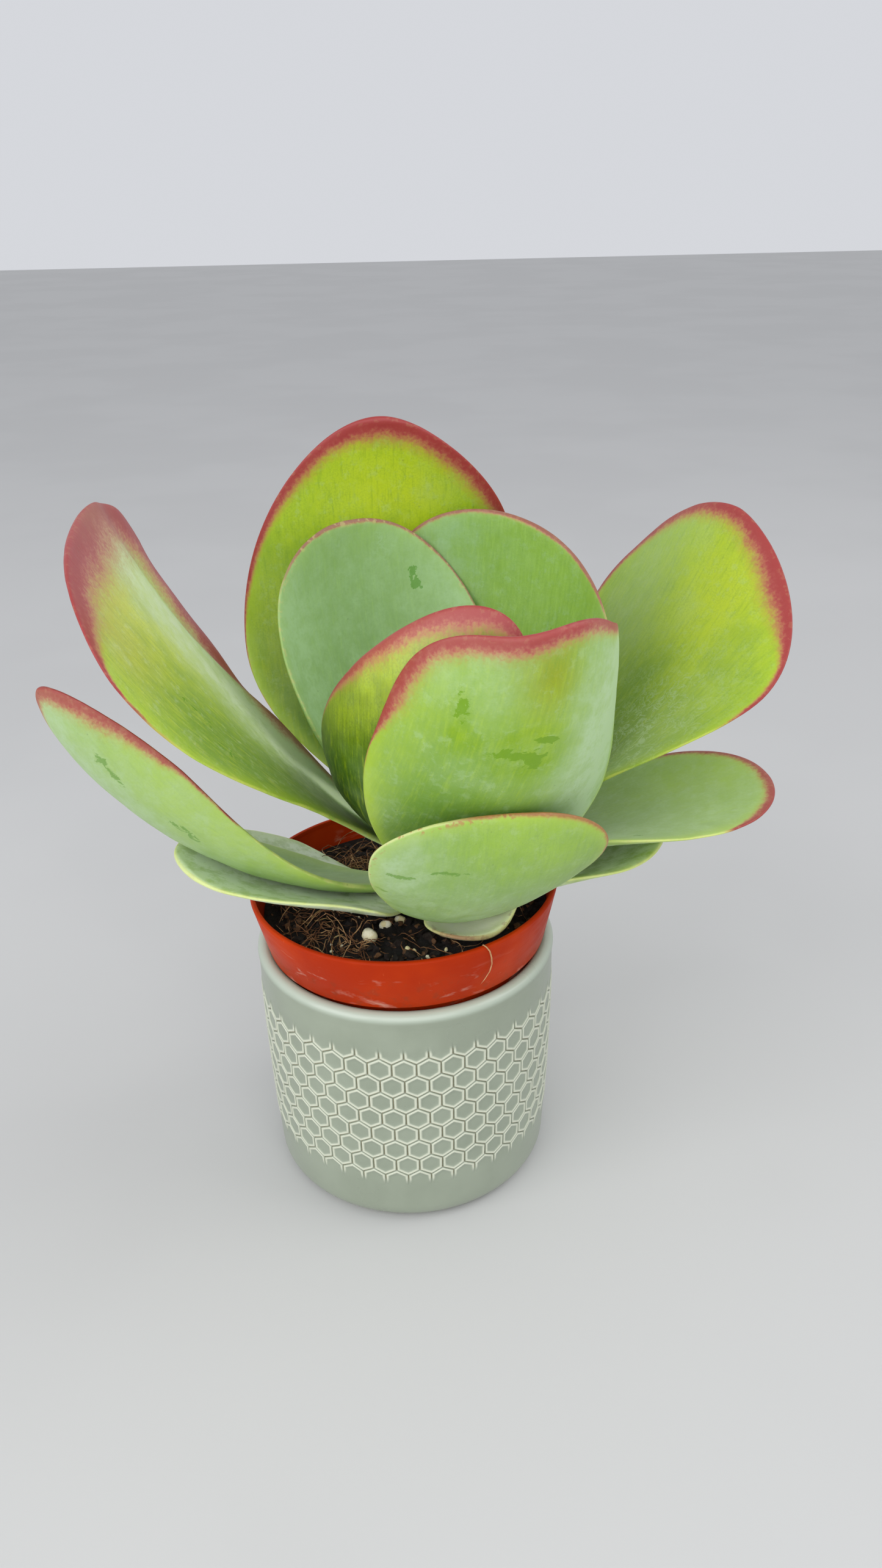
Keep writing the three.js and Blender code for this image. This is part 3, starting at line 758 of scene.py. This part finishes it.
def leaf_skin(name, skin):
    f = Finish(name)
    plan = f.tree.nodes.new("ShaderNodeUVMap")
    plan.uv_map = "blade"
    margin = f.attribute("margin")
    blush = f.attribute("blush")
    along = f.part(plan.outputs[0], 1)
    cloud = f.grain(30, 4)
    mottle = f.grain(150, 5, 0.62)
    fine = f.grain(800, 3, 0.6)
    streak = f.grain(9, 4, 0.6, f.stretch((9.0, 1.1, 1), plan.outputs[0]))
    # ground colour, deeper towards the base, with lighter and deeper fields and fine streaks
    climb = f.plus(along, f.times(f.swing(cloud), 0.4))
    climb_share = f.remap(climb, skin["length"] * 0.0020, skin["length"] * 0.0080)
    ground = f.blend(climb_share, skin["low"], skin["mid"])
    lime_share = f.times(f.attribute("lime"), f.remap(cloud, 0.25, 0.6, 0.75, 1.1))
    ground = f.blend(lime_share, ground, skin["lime"])
    deep_share = f.times(f.attribute("deep"), f.remap(mottle, 0.3, 0.7, 0.8, 1.1))
    ground = f.blend(deep_share, ground, skin["deep"])
    ground = f.blend(f.times(f.attribute("warm"), 0.7), ground, skin["warm"])
    ground = f.blend(f.times(f.remap(streak, 0.48, 0.70), 0.34), ground, skin["lime"])
    ground = f.blend(f.times(f.remap(streak, 0.50, 0.30), 0.26), ground, skin["low"])
    ground = f.blend(f.times(f.remap(cloud, 0.52, 0.68), 0.16), ground, skin["bloom"])
    ground = f.blend(f.times(f.remap(cloud, 0.48, 0.34), 0.22), ground, skin["low"])
    freckle = f.times(f.remap(f.grain(1500, 2, 0.6), 0.40, 0.66), f.remap(mottle, 0.3, 0.7, 0.3, 1))
    ground = f.blend(f.times(freckle, 0.26), ground, skin["low"])
    dapple = f.times(f.remap(f.grain(330, 4, 0.65), 0.50, 0.64), f.remap(mottle, 0.42, 0.62, 0.3, 1))
    ground = f.blend(f.times(dapple, skin.get("dapple", 0.22)), ground, skin["bloom"])
    # wax bloom, in clouds and fine grain; on a few leaves its tone and strength are also raised as painted
    # light where they sit in shade
    patch = skin.get("patch", 0.3)
    wax = f.times(f.attribute("bloom"), f.remap(mottle, 0.34, 0.66, 1 - patch, 1 + patch * 0.5))
    wax = f.times(wax, f.remap(fine, 0.30, 0.65, 0.88, 1.08))
    ground = f.blend(f.math("MINIMUM", wax, 0.92), ground, skin["bloom"])
    # a net of pale wear where leaves have rubbed on each other
    vein = f.math("ABSOLUTE", f.math("SUBTRACT", f.grain(210, 3, 0.6, warp=0.9), 0.5))
    net = f.times(f.remap(vein, 0.05, 0.004), f.remap(mottle, 0.36, 0.6, 0.25, 1))
    ground = f.blend(f.times(net, f.attribute("worn")), ground, skin["bloom"])
    # where it was touched the bloom is gone and the skin shows dark
    rub_grain = f.grain(150, 4, 0.7, f.stretch((1, 1, 1.5), turn=(0.5, 0.4, 0.8)), 0.8)
    torn = f.times(f.swing(rub_grain), 1.9)
    rub = f.remap(f.plus(f.attribute("rubbed"), torn), 0.60, 0.68)
    rub = f.times(rub, f.remap(f.attribute("rubbed"), 0.02, 0.2))
    ground = f.blend(f.times(rub, 0.88), ground, skin["rubbed"])
    # the margin is yellower, then comes the red blush, then the fine edge line
    glow = f.remap(margin, 7.0, 0.5)
    ground = f.blend(f.times(glow, skin.get("glow", 0.4)), ground, skin["edge"])
    speckle = f.plus(f.times(f.swing(mottle), 0.5), f.times(f.swing(fine), 0.9))
    speckle = f.plus(speckle, f.times(f.swing(cloud), 0.8))
    ragged = f.plus(margin, f.times(speckle, blush))
    depth = f.math("DIVIDE", ragged, f.math("MAXIMUM", blush, 0.05))
    brown_share = f.times(f.remap(depth, 1.9, 0.7), f.remap(blush, 0.15, 0.9))
    ground = f.blend(f.times(brown_share, skin.get("fade", 0.35)), ground, skin["brown"])
    red_share = f.times(f.remap(depth, 1.36, 0.48), f.remap(blush, 0.15, 0.6))
    red = f.blend(f.remap(depth, 0.25, 1.0), skin["red"], skin["red_pale"])
    ground = f.blend(f.times(red_share, 0.96), ground, red)
    ground = f.blend(f.times(f.math("MINIMUM", wax, 1), 0.22), ground, skin["bloom"])
    line_share = f.remap(f.plus(margin, f.times(fine, 0.5)), 1.1, 0.4)
    line = f.blend(f.remap(blush, 0.2, 0.7), skin["line"], skin["red_line"])
    ground = f.blend(f.times(line_share, skin.get("line_share", 0.7)), ground, line)
    cork = f.times(f.remap(f.grain(420, 3), 0.54, 0.62), f.remap(margin, 2.4, 0.9))
    ground = f.blend(f.times(cork, skin.get("cork", 0.12)), ground, skin.get("cork_tone", CORK))
    # a few dark pores
    pore, _ = f.spots(260)
    pores = f.times(f.remap(pore, 0.13, 0.06), f.remap(f.grain(70), 0.56, 0.66))
    ground = f.blend(f.times(pores, 0.3), ground, PORE)
    rough = f.remap(wax, 0.1, 0.8, 0.42, 0.60)
    f.set(base_color=ground, roughness=f.math("SUBTRACT", rough, f.times(rub, 0.12)))
    s = f.shader.inputs
    s["Specular IOR Level"].default_value = 0.42
    s["Subsurface Weight"].default_value = 0.18
    s["Subsurface Radius"].default_value = (0.9, 1.0, 0.25)
    s["Subsurface Scale"].default_value = 0.0022
    skin_bump = f.plus(f.times(fine, 0.5), f.times(mottle, 1.2))
    skin_bump = f.plus(skin_bump, f.times(streak, 0.8))
    f.set(normal=f.bump(skin_bump, 0.16, 0.0006))
    return f.material


CORK = ink(190, 164, 120)
PORE = ink(74, 88, 40)
RED = dict(red=ink(158, 42, 54), red_pale=ink(178, 84, 82), brown=ink(180, 142, 66),
           red_line=ink(150, 52, 50), warm=ink(184, 164, 66))
LIME = dict(low=ink(84, 130, 10), mid=ink(150, 184, 22), lime=ink(182, 200, 8), deep=ink(116, 152, 0),
            bloom=ink(170, 196, 132), rubbed=ink(96, 148, 16), edge=ink(176, 202, 40),
            line=ink(196, 206, 96), **RED)
BLUE = dict(low=ink(100, 138, 56), mid=ink(126, 164, 74), lime=ink(158, 196, 80), deep=ink(106, 144, 62),
            bloom=ink(158, 192, 148), rubbed=ink(84, 142, 30), edge=ink(154, 188, 80),
            line=ink(176, 196, 110), **RED)
PALE = dict(low=ink(116, 152, 54), mid=ink(142, 176, 64), lime=ink(164, 196, 36), deep=ink(104, 140, 34),
            bloom=ink(172, 198, 150), rubbed=ink(100, 146, 40), edge=ink(180, 206, 70),
            line=ink(208, 216, 130), **RED)
NO_BLUSH = (0, 0)

# Each leaf's paint and folds. Blush is the red band's width in millimetres at even steps round the
# margin, from the left side of the base over the tip to the right side. A mark is a soft patch: kind,
# place along and across, its two reaches in millimetres and its strength. A fold is placed alike and
# gives how far the blade is lifted there and how far it is pushed out towards the tip.
MARK_KINDS = ("lime", "deep", "warm", "bloom", "worn", "rubbed")
SKINS = {
    # its near-white bloom and pale tones are partly real wax bloom and partly painted light, lifting the
    # blade where the front low leaf shades it
    "leaf_front_base": dict(
        PALE, blush=(0, 0, 0, 0, 0.3, 0.5, 0.2, 0, 0), haze=1.2, bloom=ink(246, 250, 222),
        low=ink(186, 210, 136), mid=ink(196, 218, 140), cork=0.4, cork_tone=ink(140, 96, 70),
        marks=[("lime", 0.75, 0.3, 12, 10, 0.4)]),
    # its pale bloom and lifted low and mid tones are partly real wax bloom and partly painted light for the
    # light it catches from the front and left
    "leaf_left_base": dict(
        PALE, blush=NO_BLUSH, haze=1.0, patch=0.6, glow=0.3, bloom=ink(226, 238, 214),
        low=ink(150, 178, 104), mid=ink(160, 188, 104),
        marks=[("lime", 0.95, 0.1, 18, 25, 0.6), ("worn", 0.7, 0.3, 40, 25, 0.4)]),
    "leaf_right_base": dict(
        PALE, blush=NO_BLUSH, haze=0.65, patch=0.8, glow=0.4, bloom=ink(214, 230, 190),
        marks=[("lime", 0.95, 0, 18, 25, 0.4), ("worn", 0.7, -0.5, 40, 18, 0.4)]),
    "leaf_front_low": dict(
        PALE, blush=(0, 0, 0, 0.6, 1.1, 1.2, 0.8, 0.2, 0, 0, 0, 0, 0), haze=0.16, glow=0.35, cork=0.7,
        low=ink(104, 142, 44), mid=ink(124, 164, 50), lime=ink(154, 190, 34), red=ink(160, 104, 60),
        red_pale=ink(172, 136, 74), red_line=ink(158, 110, 66), cork_tone=ink(176, 120, 78),
        line=ink(206, 208, 146),
        marks=[("lime", 0.92, 0.3, 20, 28, 0.75), ("bloom", 0.80, -0.85, 22, 14, 0.6),
            ("bloom", 0.55, -0.1, 20, 30, 0.35), ("deep", 0.62, 0.2, 14, 10, 0.4),
            ("rubbed", 0.80, -0.42, 1.1, 11, 0.85), ("rubbed", 0.76, -0.75, 1.6, 8, 0.85),
            ("rubbed", 0.65, -0.85, 3, 6, 0.65)]),
    "leaf_right_low": dict(
        PALE, blush=(0, 0, 0.4, 1.3, 2.4, 2.8, 3.4, 2.4, 0.2, 0, 0, 0, 0), haze=0.34, glow=0.45,
        low=ink(134, 166, 84), bloom=ink(184, 208, 158),
        marks=[("lime", 0.80, 0.25, 34, 20, 0.85), ("bloom", 0.5, -0.4, 35, 20, 0.45),
            ("rubbed", 0.55, -0.7, 10, 3, 0.5)]),
    "leaf_left_low": dict(
        PALE, blush=(0, 0, 0.2, 1.2, 3.2, 5, 5, 0.6, 0, 0, 0, 0, 0), haze=0.35, glow=0.35,
        lime=ink(166, 196, 62),
        marks=[("lime", 0.6, 0.8, 60, 14, 0.7), ("bloom", 0.8, -0.2, 60, 14, 0.55),
            ("lime", 0.25, 0.9, 30, 10, 0.6), ("rubbed", 0.76, 0.35, 12, 3, 0.9),
            ("rubbed", 0.55, 0.35, 13, 4, 0.7), ("deep", 0.3, -0.3, 35, 12, 0.5)]),
    "leaf_back_tall": dict(
        LIME, fade=0.75, blush=(0, 0, 0.3, 0.6, 1.8, 4.6, 7, 6.5, 4.5, 1, 0, 0, 0), haze=0.05,
        marks=[("lime", 0.82, -0.05, 45, 36, 0.9), ("lime", 0.6, 0.7, 40, 14, 0.3)]),
    "leaf_right_large": dict(
        LIME, fade=0.6, blush=(0, 0, 0.4, 1.2, 2.8, 4.4, 6.5, 8, 1.6, 0, 0, 0, 0), haze=0.06,
        marks=[("lime", 0.85, -0.35, 45, 34, 0.9), ("bloom", 0.72, 0.55, 60, 18, 0.35),
            ("deep", 0.5, -0.1, 26, 22, 0.7), ("bloom", 0.48, -0.75, 36, 14, 0.2),
            ("worn", 0.50, -0.55, 34, 26, 0.9)]),
    # the bloom patches on its s<0 side, by the base and near the tip, are partly real wax bloom and partly
    # painted light where that side faces away from the lamps
    "leaf_left_large": dict(
        LIME, blush=(0, 0, 0, 0, 0.6, 12, 17, 17, 15, 14, 12, 5, 0), haze=0.08, fade=0.5,
        red=ink(160, 44, 60), red_pale=ink(190, 104, 102), low=ink(84, 132, 4), mid=ink(174, 208, 52),
        lime=ink(218, 224, 66), bloom=ink(212, 228, 186),
        marks=[("lime", 0.80, 0.2, 34, 30, 0.8), ("deep", 0.60, 0.8, 34, 22, 0.8),
            ("bloom", 0.42, -0.5, 66, 20, 0.75), ("bloom", 0.15, -0.5, 44, 30, 1.0),
            ("deep", 0.48, 0.5, 50, 28, 0.8), ("bloom", 0.86, -0.4, 40, 20, 0.5),
            ("rubbed", 0.66, 0.5, 11, 5, 0.66), ("rubbed", 0.60, 0.72, 10, 4, 0.66),
            ("warm", 0.86, 0.6, 16, 22, 0.6)],
        folds=[(0.60, -0.78, 80, 7, -2.6, 0)]),
    "leaf_front_tall": dict(
        LIME, blush=(0, 0, 0, 0, 0, 2.6, 5, 6, 6, 0.5, 0.1, 0, 0), haze=0.14, glow=0.5,
        mid=ink(134, 173, 32), warm=ink(150, 160, 6), low=ink(104, 150, 30), deep=ink(92, 134, 8),
        bloom=ink(178, 206, 158), lime=ink(166, 196, 20), rubbed=ink(110, 154, 0), red=ink(160, 46, 60),
        red_pale=ink(184, 98, 94),
        marks=[("lime", 0.45, -0.95, 60, 10, 0.9), ("warm", 0.90, -0.06, 12, 9, 1.1),
            ("warm", 0.95, -0.3, 7, 9, 0.6), ("bloom", 0.90, -0.08, 14, 11, -0.3),
            ("lime", 0.82, -0.05, 20, 9, 0.4), ("bloom", 0.74, 0.35, 46, 10, 0.5),
            ("lime", 0.8, -0.75, 26, 20, 0.35), ("rubbed", 0.81, -0.55, 9, 3.2, 0.85),
            ("bloom", 0.81, -0.55, 12, 4, -0.3), ("rubbed", 0.725, -0.17, 2.7, 11, 1.05),
            ("rubbed", 0.697, -0.03, 3.8, 2.4, 1.05), ("rubbed", 0.762, 0.02, 2.2, 5.4, 1.05),
            ("bloom", 0.73, -0.1, 9, 15, -0.35), ("bloom", 0.9, -0.4, 16, 24, 0.25),
            ("bloom", 0.5, 0.68, 70, 13, 0.85), ("bloom", 0.85, 0.78, 30, 9, 0.8),
            ("deep", 0.55, -0.6, 50, 26, 0.62), ("deep", 0.2, 0, 40, 40, 0.5)],
        folds=[(0.95, -0.40, 22, 13, -1.5, -2.6), (0.96, 0.8, 16, 13, 0, -4)]),
    "leaf_right_inner": dict(
        BLUE, blush=(0, 0, 0, 0.4, 0.9, 1.2, 1.3, 0.9, 0.2, 0, 0, 0, 0), haze=0.1, glow=0.25,
        line_share=0.5, low=ink(96, 140, 14), mid=ink(124, 164, 34), deep=ink(104, 146, 20),
        red=ink(140, 80, 70), red_line=ink(150, 96, 74),
        marks=[("bloom", 0.78, 0.75, 50, 18, 0.45), ("lime", 0.82, -0.4, 40, 26, 0.3)]),
    "leaf_back_inner": dict(
        BLUE, blush=(0, 0, 0, 0, 0.2, 0.6, 1.2, 1.0, 0.6, 0.2, 0, 0, 0), haze=0.52, cork=0.45,
        cork_tone=ink(196, 190, 120), bloom=ink(158, 192, 136), glow=0.2, line_share=0.4,
        red=ink(142, 84, 76), red_line=ink(150, 104, 84),
        marks=[("bloom", 0.75, 0.9, 60, 12, 0.4), ("deep", 0.64, 0.1, 34, 24, 0.85),
            ("bloom", 0.5, -0.85, 50, 12, 0.4), ("bloom", 0.2, 0, 30, 30, 0.35),
            ("lime", 0.96, -0.1, 12, 30, 0.45), ("rubbed", 0.815, -0.60, 4, 2.6, 0.95),
            ("rubbed", 0.77, -0.58, 2.6, 2.6, 0.85), ("worn", 0.92, -0.36, 7, 6, 0.7)]),
    # its near-black low and dark mid tones are painted shade where the front tall leaf shadows its lower
    # part
    "leaf_left_inner": dict(
        LIME, blush=(0, 0, 0, 0.5, 3, 6, 6, 4, 1.8, 1.0, 0.4, 0, 0), haze=0, dapple=0.06, low=ink(8, 36, 0),
        mid=ink(68, 106, 0), red=ink(164, 56, 66), red_pale=ink(190, 108, 98),
        marks=[("lime", 0.93, 0.1, 16, 34, 0.85), ("bloom", 0.95, 0.2, 16, 26, 0.25)]),
    "bud_leaf_front": dict(LIME, blush=(0, 0, 0, 0, 0.2, 0.4, 0.2, 0, 0), haze=0.3),
    "bud_leaf_back": dict(LIME, blush=(0, 0, 0, 0, 0.2, 0.4, 0.2, 0, 0), haze=0.3),
}

for node, blade in BLADES.items():
    skin = dict(SKINS[node], length=blade["length"])
    grid = BUD_GRID if node.startswith("bud") else LEAF_GRID
    leaf = finish_piece(node.replace("leaf", "blade"), grow_leaf(node, blade, skin, grid))
    leaf.data.materials.append(leaf_skin(node + "_skin", skin))
    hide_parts(node)

# ----------------------------------------------------------
# Compost litter. Crumbs of peat and bark, beads of perlite, coir fibres and a few straws lie on the
# peat, and one pale root has crept out over the collar.
# ----------------------------------------------------------
LITTER_REACH = 52.5 * MM
STEM_CLEAR = 9 * MM
CRUMBS = 620
PERLITE = [((-13.7, -27.8), 2.9), ((-7.9, -19.1), 2.1), ((-2.1, -15.2), 2.2), ((0.3, -35.4), 1.2),
           ((2.6, -37.6), 1.0), ((7.5, -41.4), 0.9), ((14.4, -37.2), 0.8), ((-24.0, -31.0), 0.8)]
LOOSE_PERLITE = 26
FIBRES = 330
CLUMPS = [(-33, -19), (-40, -8), (-23, -34), (-15, 33), (-25, 27), (43, -10), (5, 40)]
CLUMP_SPREAD = 7
TALL_FIBRES = 60
TALL_CLUMPS = [(-28, 36), (-20, 42), (-36, -14)]
STRAWS = 16
FIBRE_STEP = 1.7 * MM
FIBRE_SIDES = 4
CLEAR = 0.3 * MM
CRUMB_SIZES = (0.6, 0.8, 1.0, 1.3, 1.8, 2.3)
FIBRE_ARCHES = (0.3, 0.8, 1.6, 3.2, 4.5)
CLUMPED_SHARE = 0.7
WANDER = 0.22

dice = random.Random(41)
leaf_trees = []
for node in BLADES:
    mesh = bpy.data.objects[node.replace("leaf", "blade")].data
    leaf_trees.append(bvhtree.BVHTree.FromPolygons([v.co for v in mesh.vertices],
                                                   [tuple(f.vertices) for f in mesh.polygons]))


def on_bed(x, y, above=0.0):
    return SEAT @ Vector((x, y, bed_height(x, y) + above))


def is_clear(spot, reach):
    if (spot.xy - STEM_PLACE).length < STEM_CLEAR + reach:
        return False
    return not any(tree.find_nearest(spot, reach + CLEAR)[0] for tree in leaf_trees)


def random_spot():
    reach = LITTER_REACH * math.sqrt(dice.random())
    turn = dice.uniform(0, 2 * math.pi)
    return reach * math.cos(turn), reach * math.sin(turn)


def lump(form, spot, size, flatness, roughness, detail):
    made = bmesh.ops.create_icosphere(form, subdivisions=detail, radius=1)["verts"]
    stretch = Vector((dice.uniform(0.72, 0.9), dice.uniform(1.05, 1.3), flatness)) * size
    turn = Matrix.Rotation(dice.uniform(0, math.pi), 3, "Z")
    turn = turn @ Matrix.Rotation(dice.uniform(-0.5, 0.5), 3, "X")
    for v in made:
        v.co = spot + turn @ (v.co * (1 + dice.uniform(-roughness, roughness)) * stretch)


def strand(form, path, width):
    # a thin round thread along a path, drawn to a point at both ends
    ring = bmesh.ops.create_circle(form, segments=FIBRE_SIDES, radius=1)["verts"]
    edges = list({e for v in ring for e in v.link_edges})
    facing = Vector((0, 0, 1)).rotation_difference(path[1] - path[0])
    shape = [v.co.copy() for v in ring]
    rings = []
    for i, spot in enumerate(path):
        if i:
            drawn = bmesh.ops.extrude_edge_only(form, edges=edges)["geom"]
            old = facing @ Vector((0, 0, 1))
            ahead = path[min(i + 1, len(path) - 1)] - path[i - 1]
            facing = old.rotation_difference(ahead) @ facing
            edges = open_edges(drawn)
            ring = verts_of(drawn)
            before = rings[-1]
            ring.sort(key=lambda v: min(range(FIBRE_SIDES), key=lambda k: (v.co - before[k].co).length))
        taper = 0.55 + 0.45 * math.sin(math.pi * i / (len(path) - 1))
        for v, corner in zip(ring, shape):
            v.co = spot + facing @ (corner * width * taper)
        rings.append(ring)
    bmesh.ops.pointmerge(form, verts=rings[0], merge_co=path[0])
    bmesh.ops.pointmerge(form, verts=rings[-1], merge_co=path[-1])


def creep(steps, step, curl, arch, clumps=CLUMPS):
    # a wandering path that starts and ends in the peat and arches up between, most often in a clump
    x, y = random_spot()
    if dice.random() < CLUMPED_SHARE:
        clump = dice.choice(clumps)
        x, y = (dice.gauss(c, CLUMP_SPREAD) * MM for c in clump)
    heading = dice.uniform(0, 2 * math.pi)
    bend = dice.gauss(0, curl)
    spots = []
    for i in range(steps + 1):
        rise = arch * math.sin(math.pi * i / steps)
        if math.hypot(x, y) > LITTER_REACH:
            return None
        spot = on_bed(x, y, rise)
        if not is_clear(spot, 0.2 * MM):
            return None
        spots.append(spot)
        heading += bend + dice.gauss(0, WANDER)
        x += step * math.cos(heading)
        y += step * math.sin(heading)
    return spots


def litter_piece(name, form, skin, smooth=True):
    bmesh.ops.recalc_face_normals(form, faces=form.faces[:])
    piece = finish_piece(name, form, smooth=smooth)
    piece.data.materials.append(skin.material)


def mixed(name, tones, scale, rough):
    # loose bits take their tone from where they lie
    f = Finish(name)
    _, pick = f.spots(scale)
    tone = f.blend(f.part(pick, 0), tones[0], tones[1])
    tone = f.blend(f.remap(f.part(pick, 1), 0.62, 0.78), tone, tones[2])
    tone = f.blend(f.times(f.remap(f.grain(1400, 3), 0.5, 0.66), 0.45), tone, tones[3])
    f.set(base_color=tone, roughness=f.remap(f.grain(700), 0.3, 0.7, rough, 1))
    f.set(normal=f.bump(f.grain(2200, 4, 0.7), 0.6, 0.0003))
    return f


crumbs = bmesh.new()
for _ in range(CRUMBS):
    x, y = random_spot()
    size = dice.choice(CRUMB_SIZES) * MM
    spot = on_bed(x, y, size * 0.25)
    if is_clear(spot, size * 1.4):
        lump(crumbs, spot, size, dice.uniform(0.45, 0.9), 0.28, 1)
BARK_TONES = (ink(15, 10, 7), ink(36, 24, 16), ink(104, 72, 44), ink(28, 20, 14))
litter_piece("bark_crumbs", crumbs, mixed("bark_and_peat", BARK_TONES, 420, 0.75), smooth=False)

beads = bmesh.new()
spots = [(x * MM, y * MM, size * MM) for (x, y), size in PERLITE]
spots += [(*random_spot(), dice.uniform(0.35, 0.8) * MM) for _ in range(LOOSE_PERLITE)]
for x, y, size in spots:
    spot = on_bed(x, y, size * 0.45)
    if is_clear(spot, size * 1.3):
        lump(beads, spot, size, 0.95, 0.06, 2 if size < 2 * MM else 3)
PERLITE_TONES = (ink(246, 238, 196), ink(240, 228, 172), ink(250, 246, 216), ink(228, 212, 150))
litter_piece("perlite_beads", beads, mixed("perlite", PERLITE_TONES, 260, 0.7))

fibres = bmesh.new()
for _ in range(FIBRES):
    path = creep(dice.randint(6, 13), FIBRE_STEP, 0.12, dice.choice(FIBRE_ARCHES) * MM)
    if path:
        strand(fibres, path, dice.uniform(0.10, 0.24) * MM)
for _ in range(TALL_FIBRES):
    path = creep(dice.randint(10, 16), FIBRE_STEP * 1.3, 0.15, dice.uniform(5, 12) * MM, TALL_CLUMPS)
    if path:
        strand(fibres, path, dice.uniform(0.14, 0.24) * MM)
COIR_TONES = (ink(96, 60, 36), ink(146, 102, 64), ink(186, 146, 100), ink(60, 38, 24))
litter_piece("coir_fibres", fibres, mixed("coir", COIR_TONES, 300, 0.7))

straws = bmesh.new()
for _ in range(STRAWS):
    path = creep(dice.randint(4, 7), FIBRE_STEP * 1.4, 0.03, 0.5 * MM)
    if path:
        strand(straws, path, dice.uniform(0.28, 0.45) * MM)
STRAW_TONES = (ink(164, 132, 78), ink(190, 160, 104), ink(206, 182, 130), ink(128, 96, 56))
litter_piece("dry_straws", straws, mixed("straw", STRAW_TONES, 200, 0.6))

# the root rises from the peat, lies over the rim and hangs down the collar
ROOT_TURN = math.radians(-61)
ROOT_WIDTH = 0.28 * MM
ROOT_LINE = [(50.5, -11.6, 3), (53.5, -9.6, 2), (56.3, -5.2, 0.5), (57.6, -1.2, -1), (58.7, 0.55, -1.4),
             (60.2, 0.3, -1.0), (60.7, -1.6, 0), (60.1, -5.0, 1.0), (59.3, -8.5, 1.6), (58.4, -12.0, 1.2),
             (57.5, -15.4, -0.6), (57.0, -17.4, -2.2)]
root_form = bmesh.new()
root_path = []
for reach, height, turn in ROOT_LINE:
    angle = ROOT_TURN + math.radians(turn)
    root_path.append(SEAT @ (Vector((reach * math.cos(angle), reach * math.sin(angle), height)) * MM))
strand(root_form, root_path, ROOT_WIDTH)
ROOT_TONES = (ink(206, 160, 112), ink(190, 136, 92), ink(220, 184, 140), ink(160, 112, 74))
litter_piece("hanging_root", root_form, mixed("root_skin", ROOT_TONES, 500, 0.55))

# ----------------------------------------------------------
# Stage. A plain pale floor, a hair below the cachepot's foot, with soft daylight all round and three
# broad lamps. The camera stands in front and looks down on the plant.
# ----------------------------------------------------------
FLOOR_REACH = 6
FLOOR_DROP = 0.2 * MM
DAYLIGHT = (0.93, 0.95, 1, 1)
DAYLIGHT_STRENGTH = 0.72
# each lamp's name, place, the height it aims at, size and power
LAMPS = (("window", (-1.1, -0.9, 0.8), 0.16, 1.2, 11), ("front", (0.1, -1.25, 0.85), 0.14, 1.3, 8),
         ("side", (1.0, -0.1, 1.1), 0.16, 1.0, 5))
CAMERA_PLACE = (0, -0.413956, 0.371283)
CAMERA_TURN = (63.5648, 1.061, -2.6547)
LENS = 28.154

plane = bmesh.new()
bmesh.ops.create_grid(plane, x_segments=2, y_segments=2, size=FLOOR_REACH)
bmesh.ops.translate(plane, verts=plane.verts[:], vec=(0, 0, -FLOOR_DROP))
floor = shown("floor", plane)
paper = Finish("pale_floor")
paper_tone = paper.blend(paper.remap(paper.grain(3), 0.4, 0.6), ink(196, 196, 195), ink(199, 199, 198))
paper.set(base_color=paper_tone, roughness=0.75)
floor.data.materials.append(paper.material)

world = bpy.data.worlds.new("daylight")
world.use_nodes = True
world.node_tree.nodes["Background"].inputs["Color"].default_value = DAYLIGHT
world.node_tree.nodes["Background"].inputs["Strength"].default_value = DAYLIGHT_STRENGTH
bpy.context.scene.world = world

for name, place, aim_height, size, power in LAMPS:
    lamp = bpy.data.lights.new(name, "AREA")
    lamp.size = size
    lamp.energy = power
    holder = bpy.data.objects.new(name, lamp)
    bpy.context.scene.collection.objects.link(holder)
    holder.location = place
    ray = Vector((0, 0, aim_height)) - Vector(place)
    holder.rotation_euler = ray.to_track_quat("-Z", "Y").to_euler()

eye = bpy.data.cameras.new("camera")
eye.sensor_width = 36
eye.lens = LENS
eye.clip_start = 0.01
camera = bpy.data.objects.new("camera", eye)
camera.location = CAMERA_PLACE
camera.rotation_euler = [math.radians(a) for a in CAMERA_TURN]
bpy.context.scene.collection.objects.link(camera)
bpy.context.scene.camera = camera
bpy.context.scene.view_settings.view_transform = "Standard"
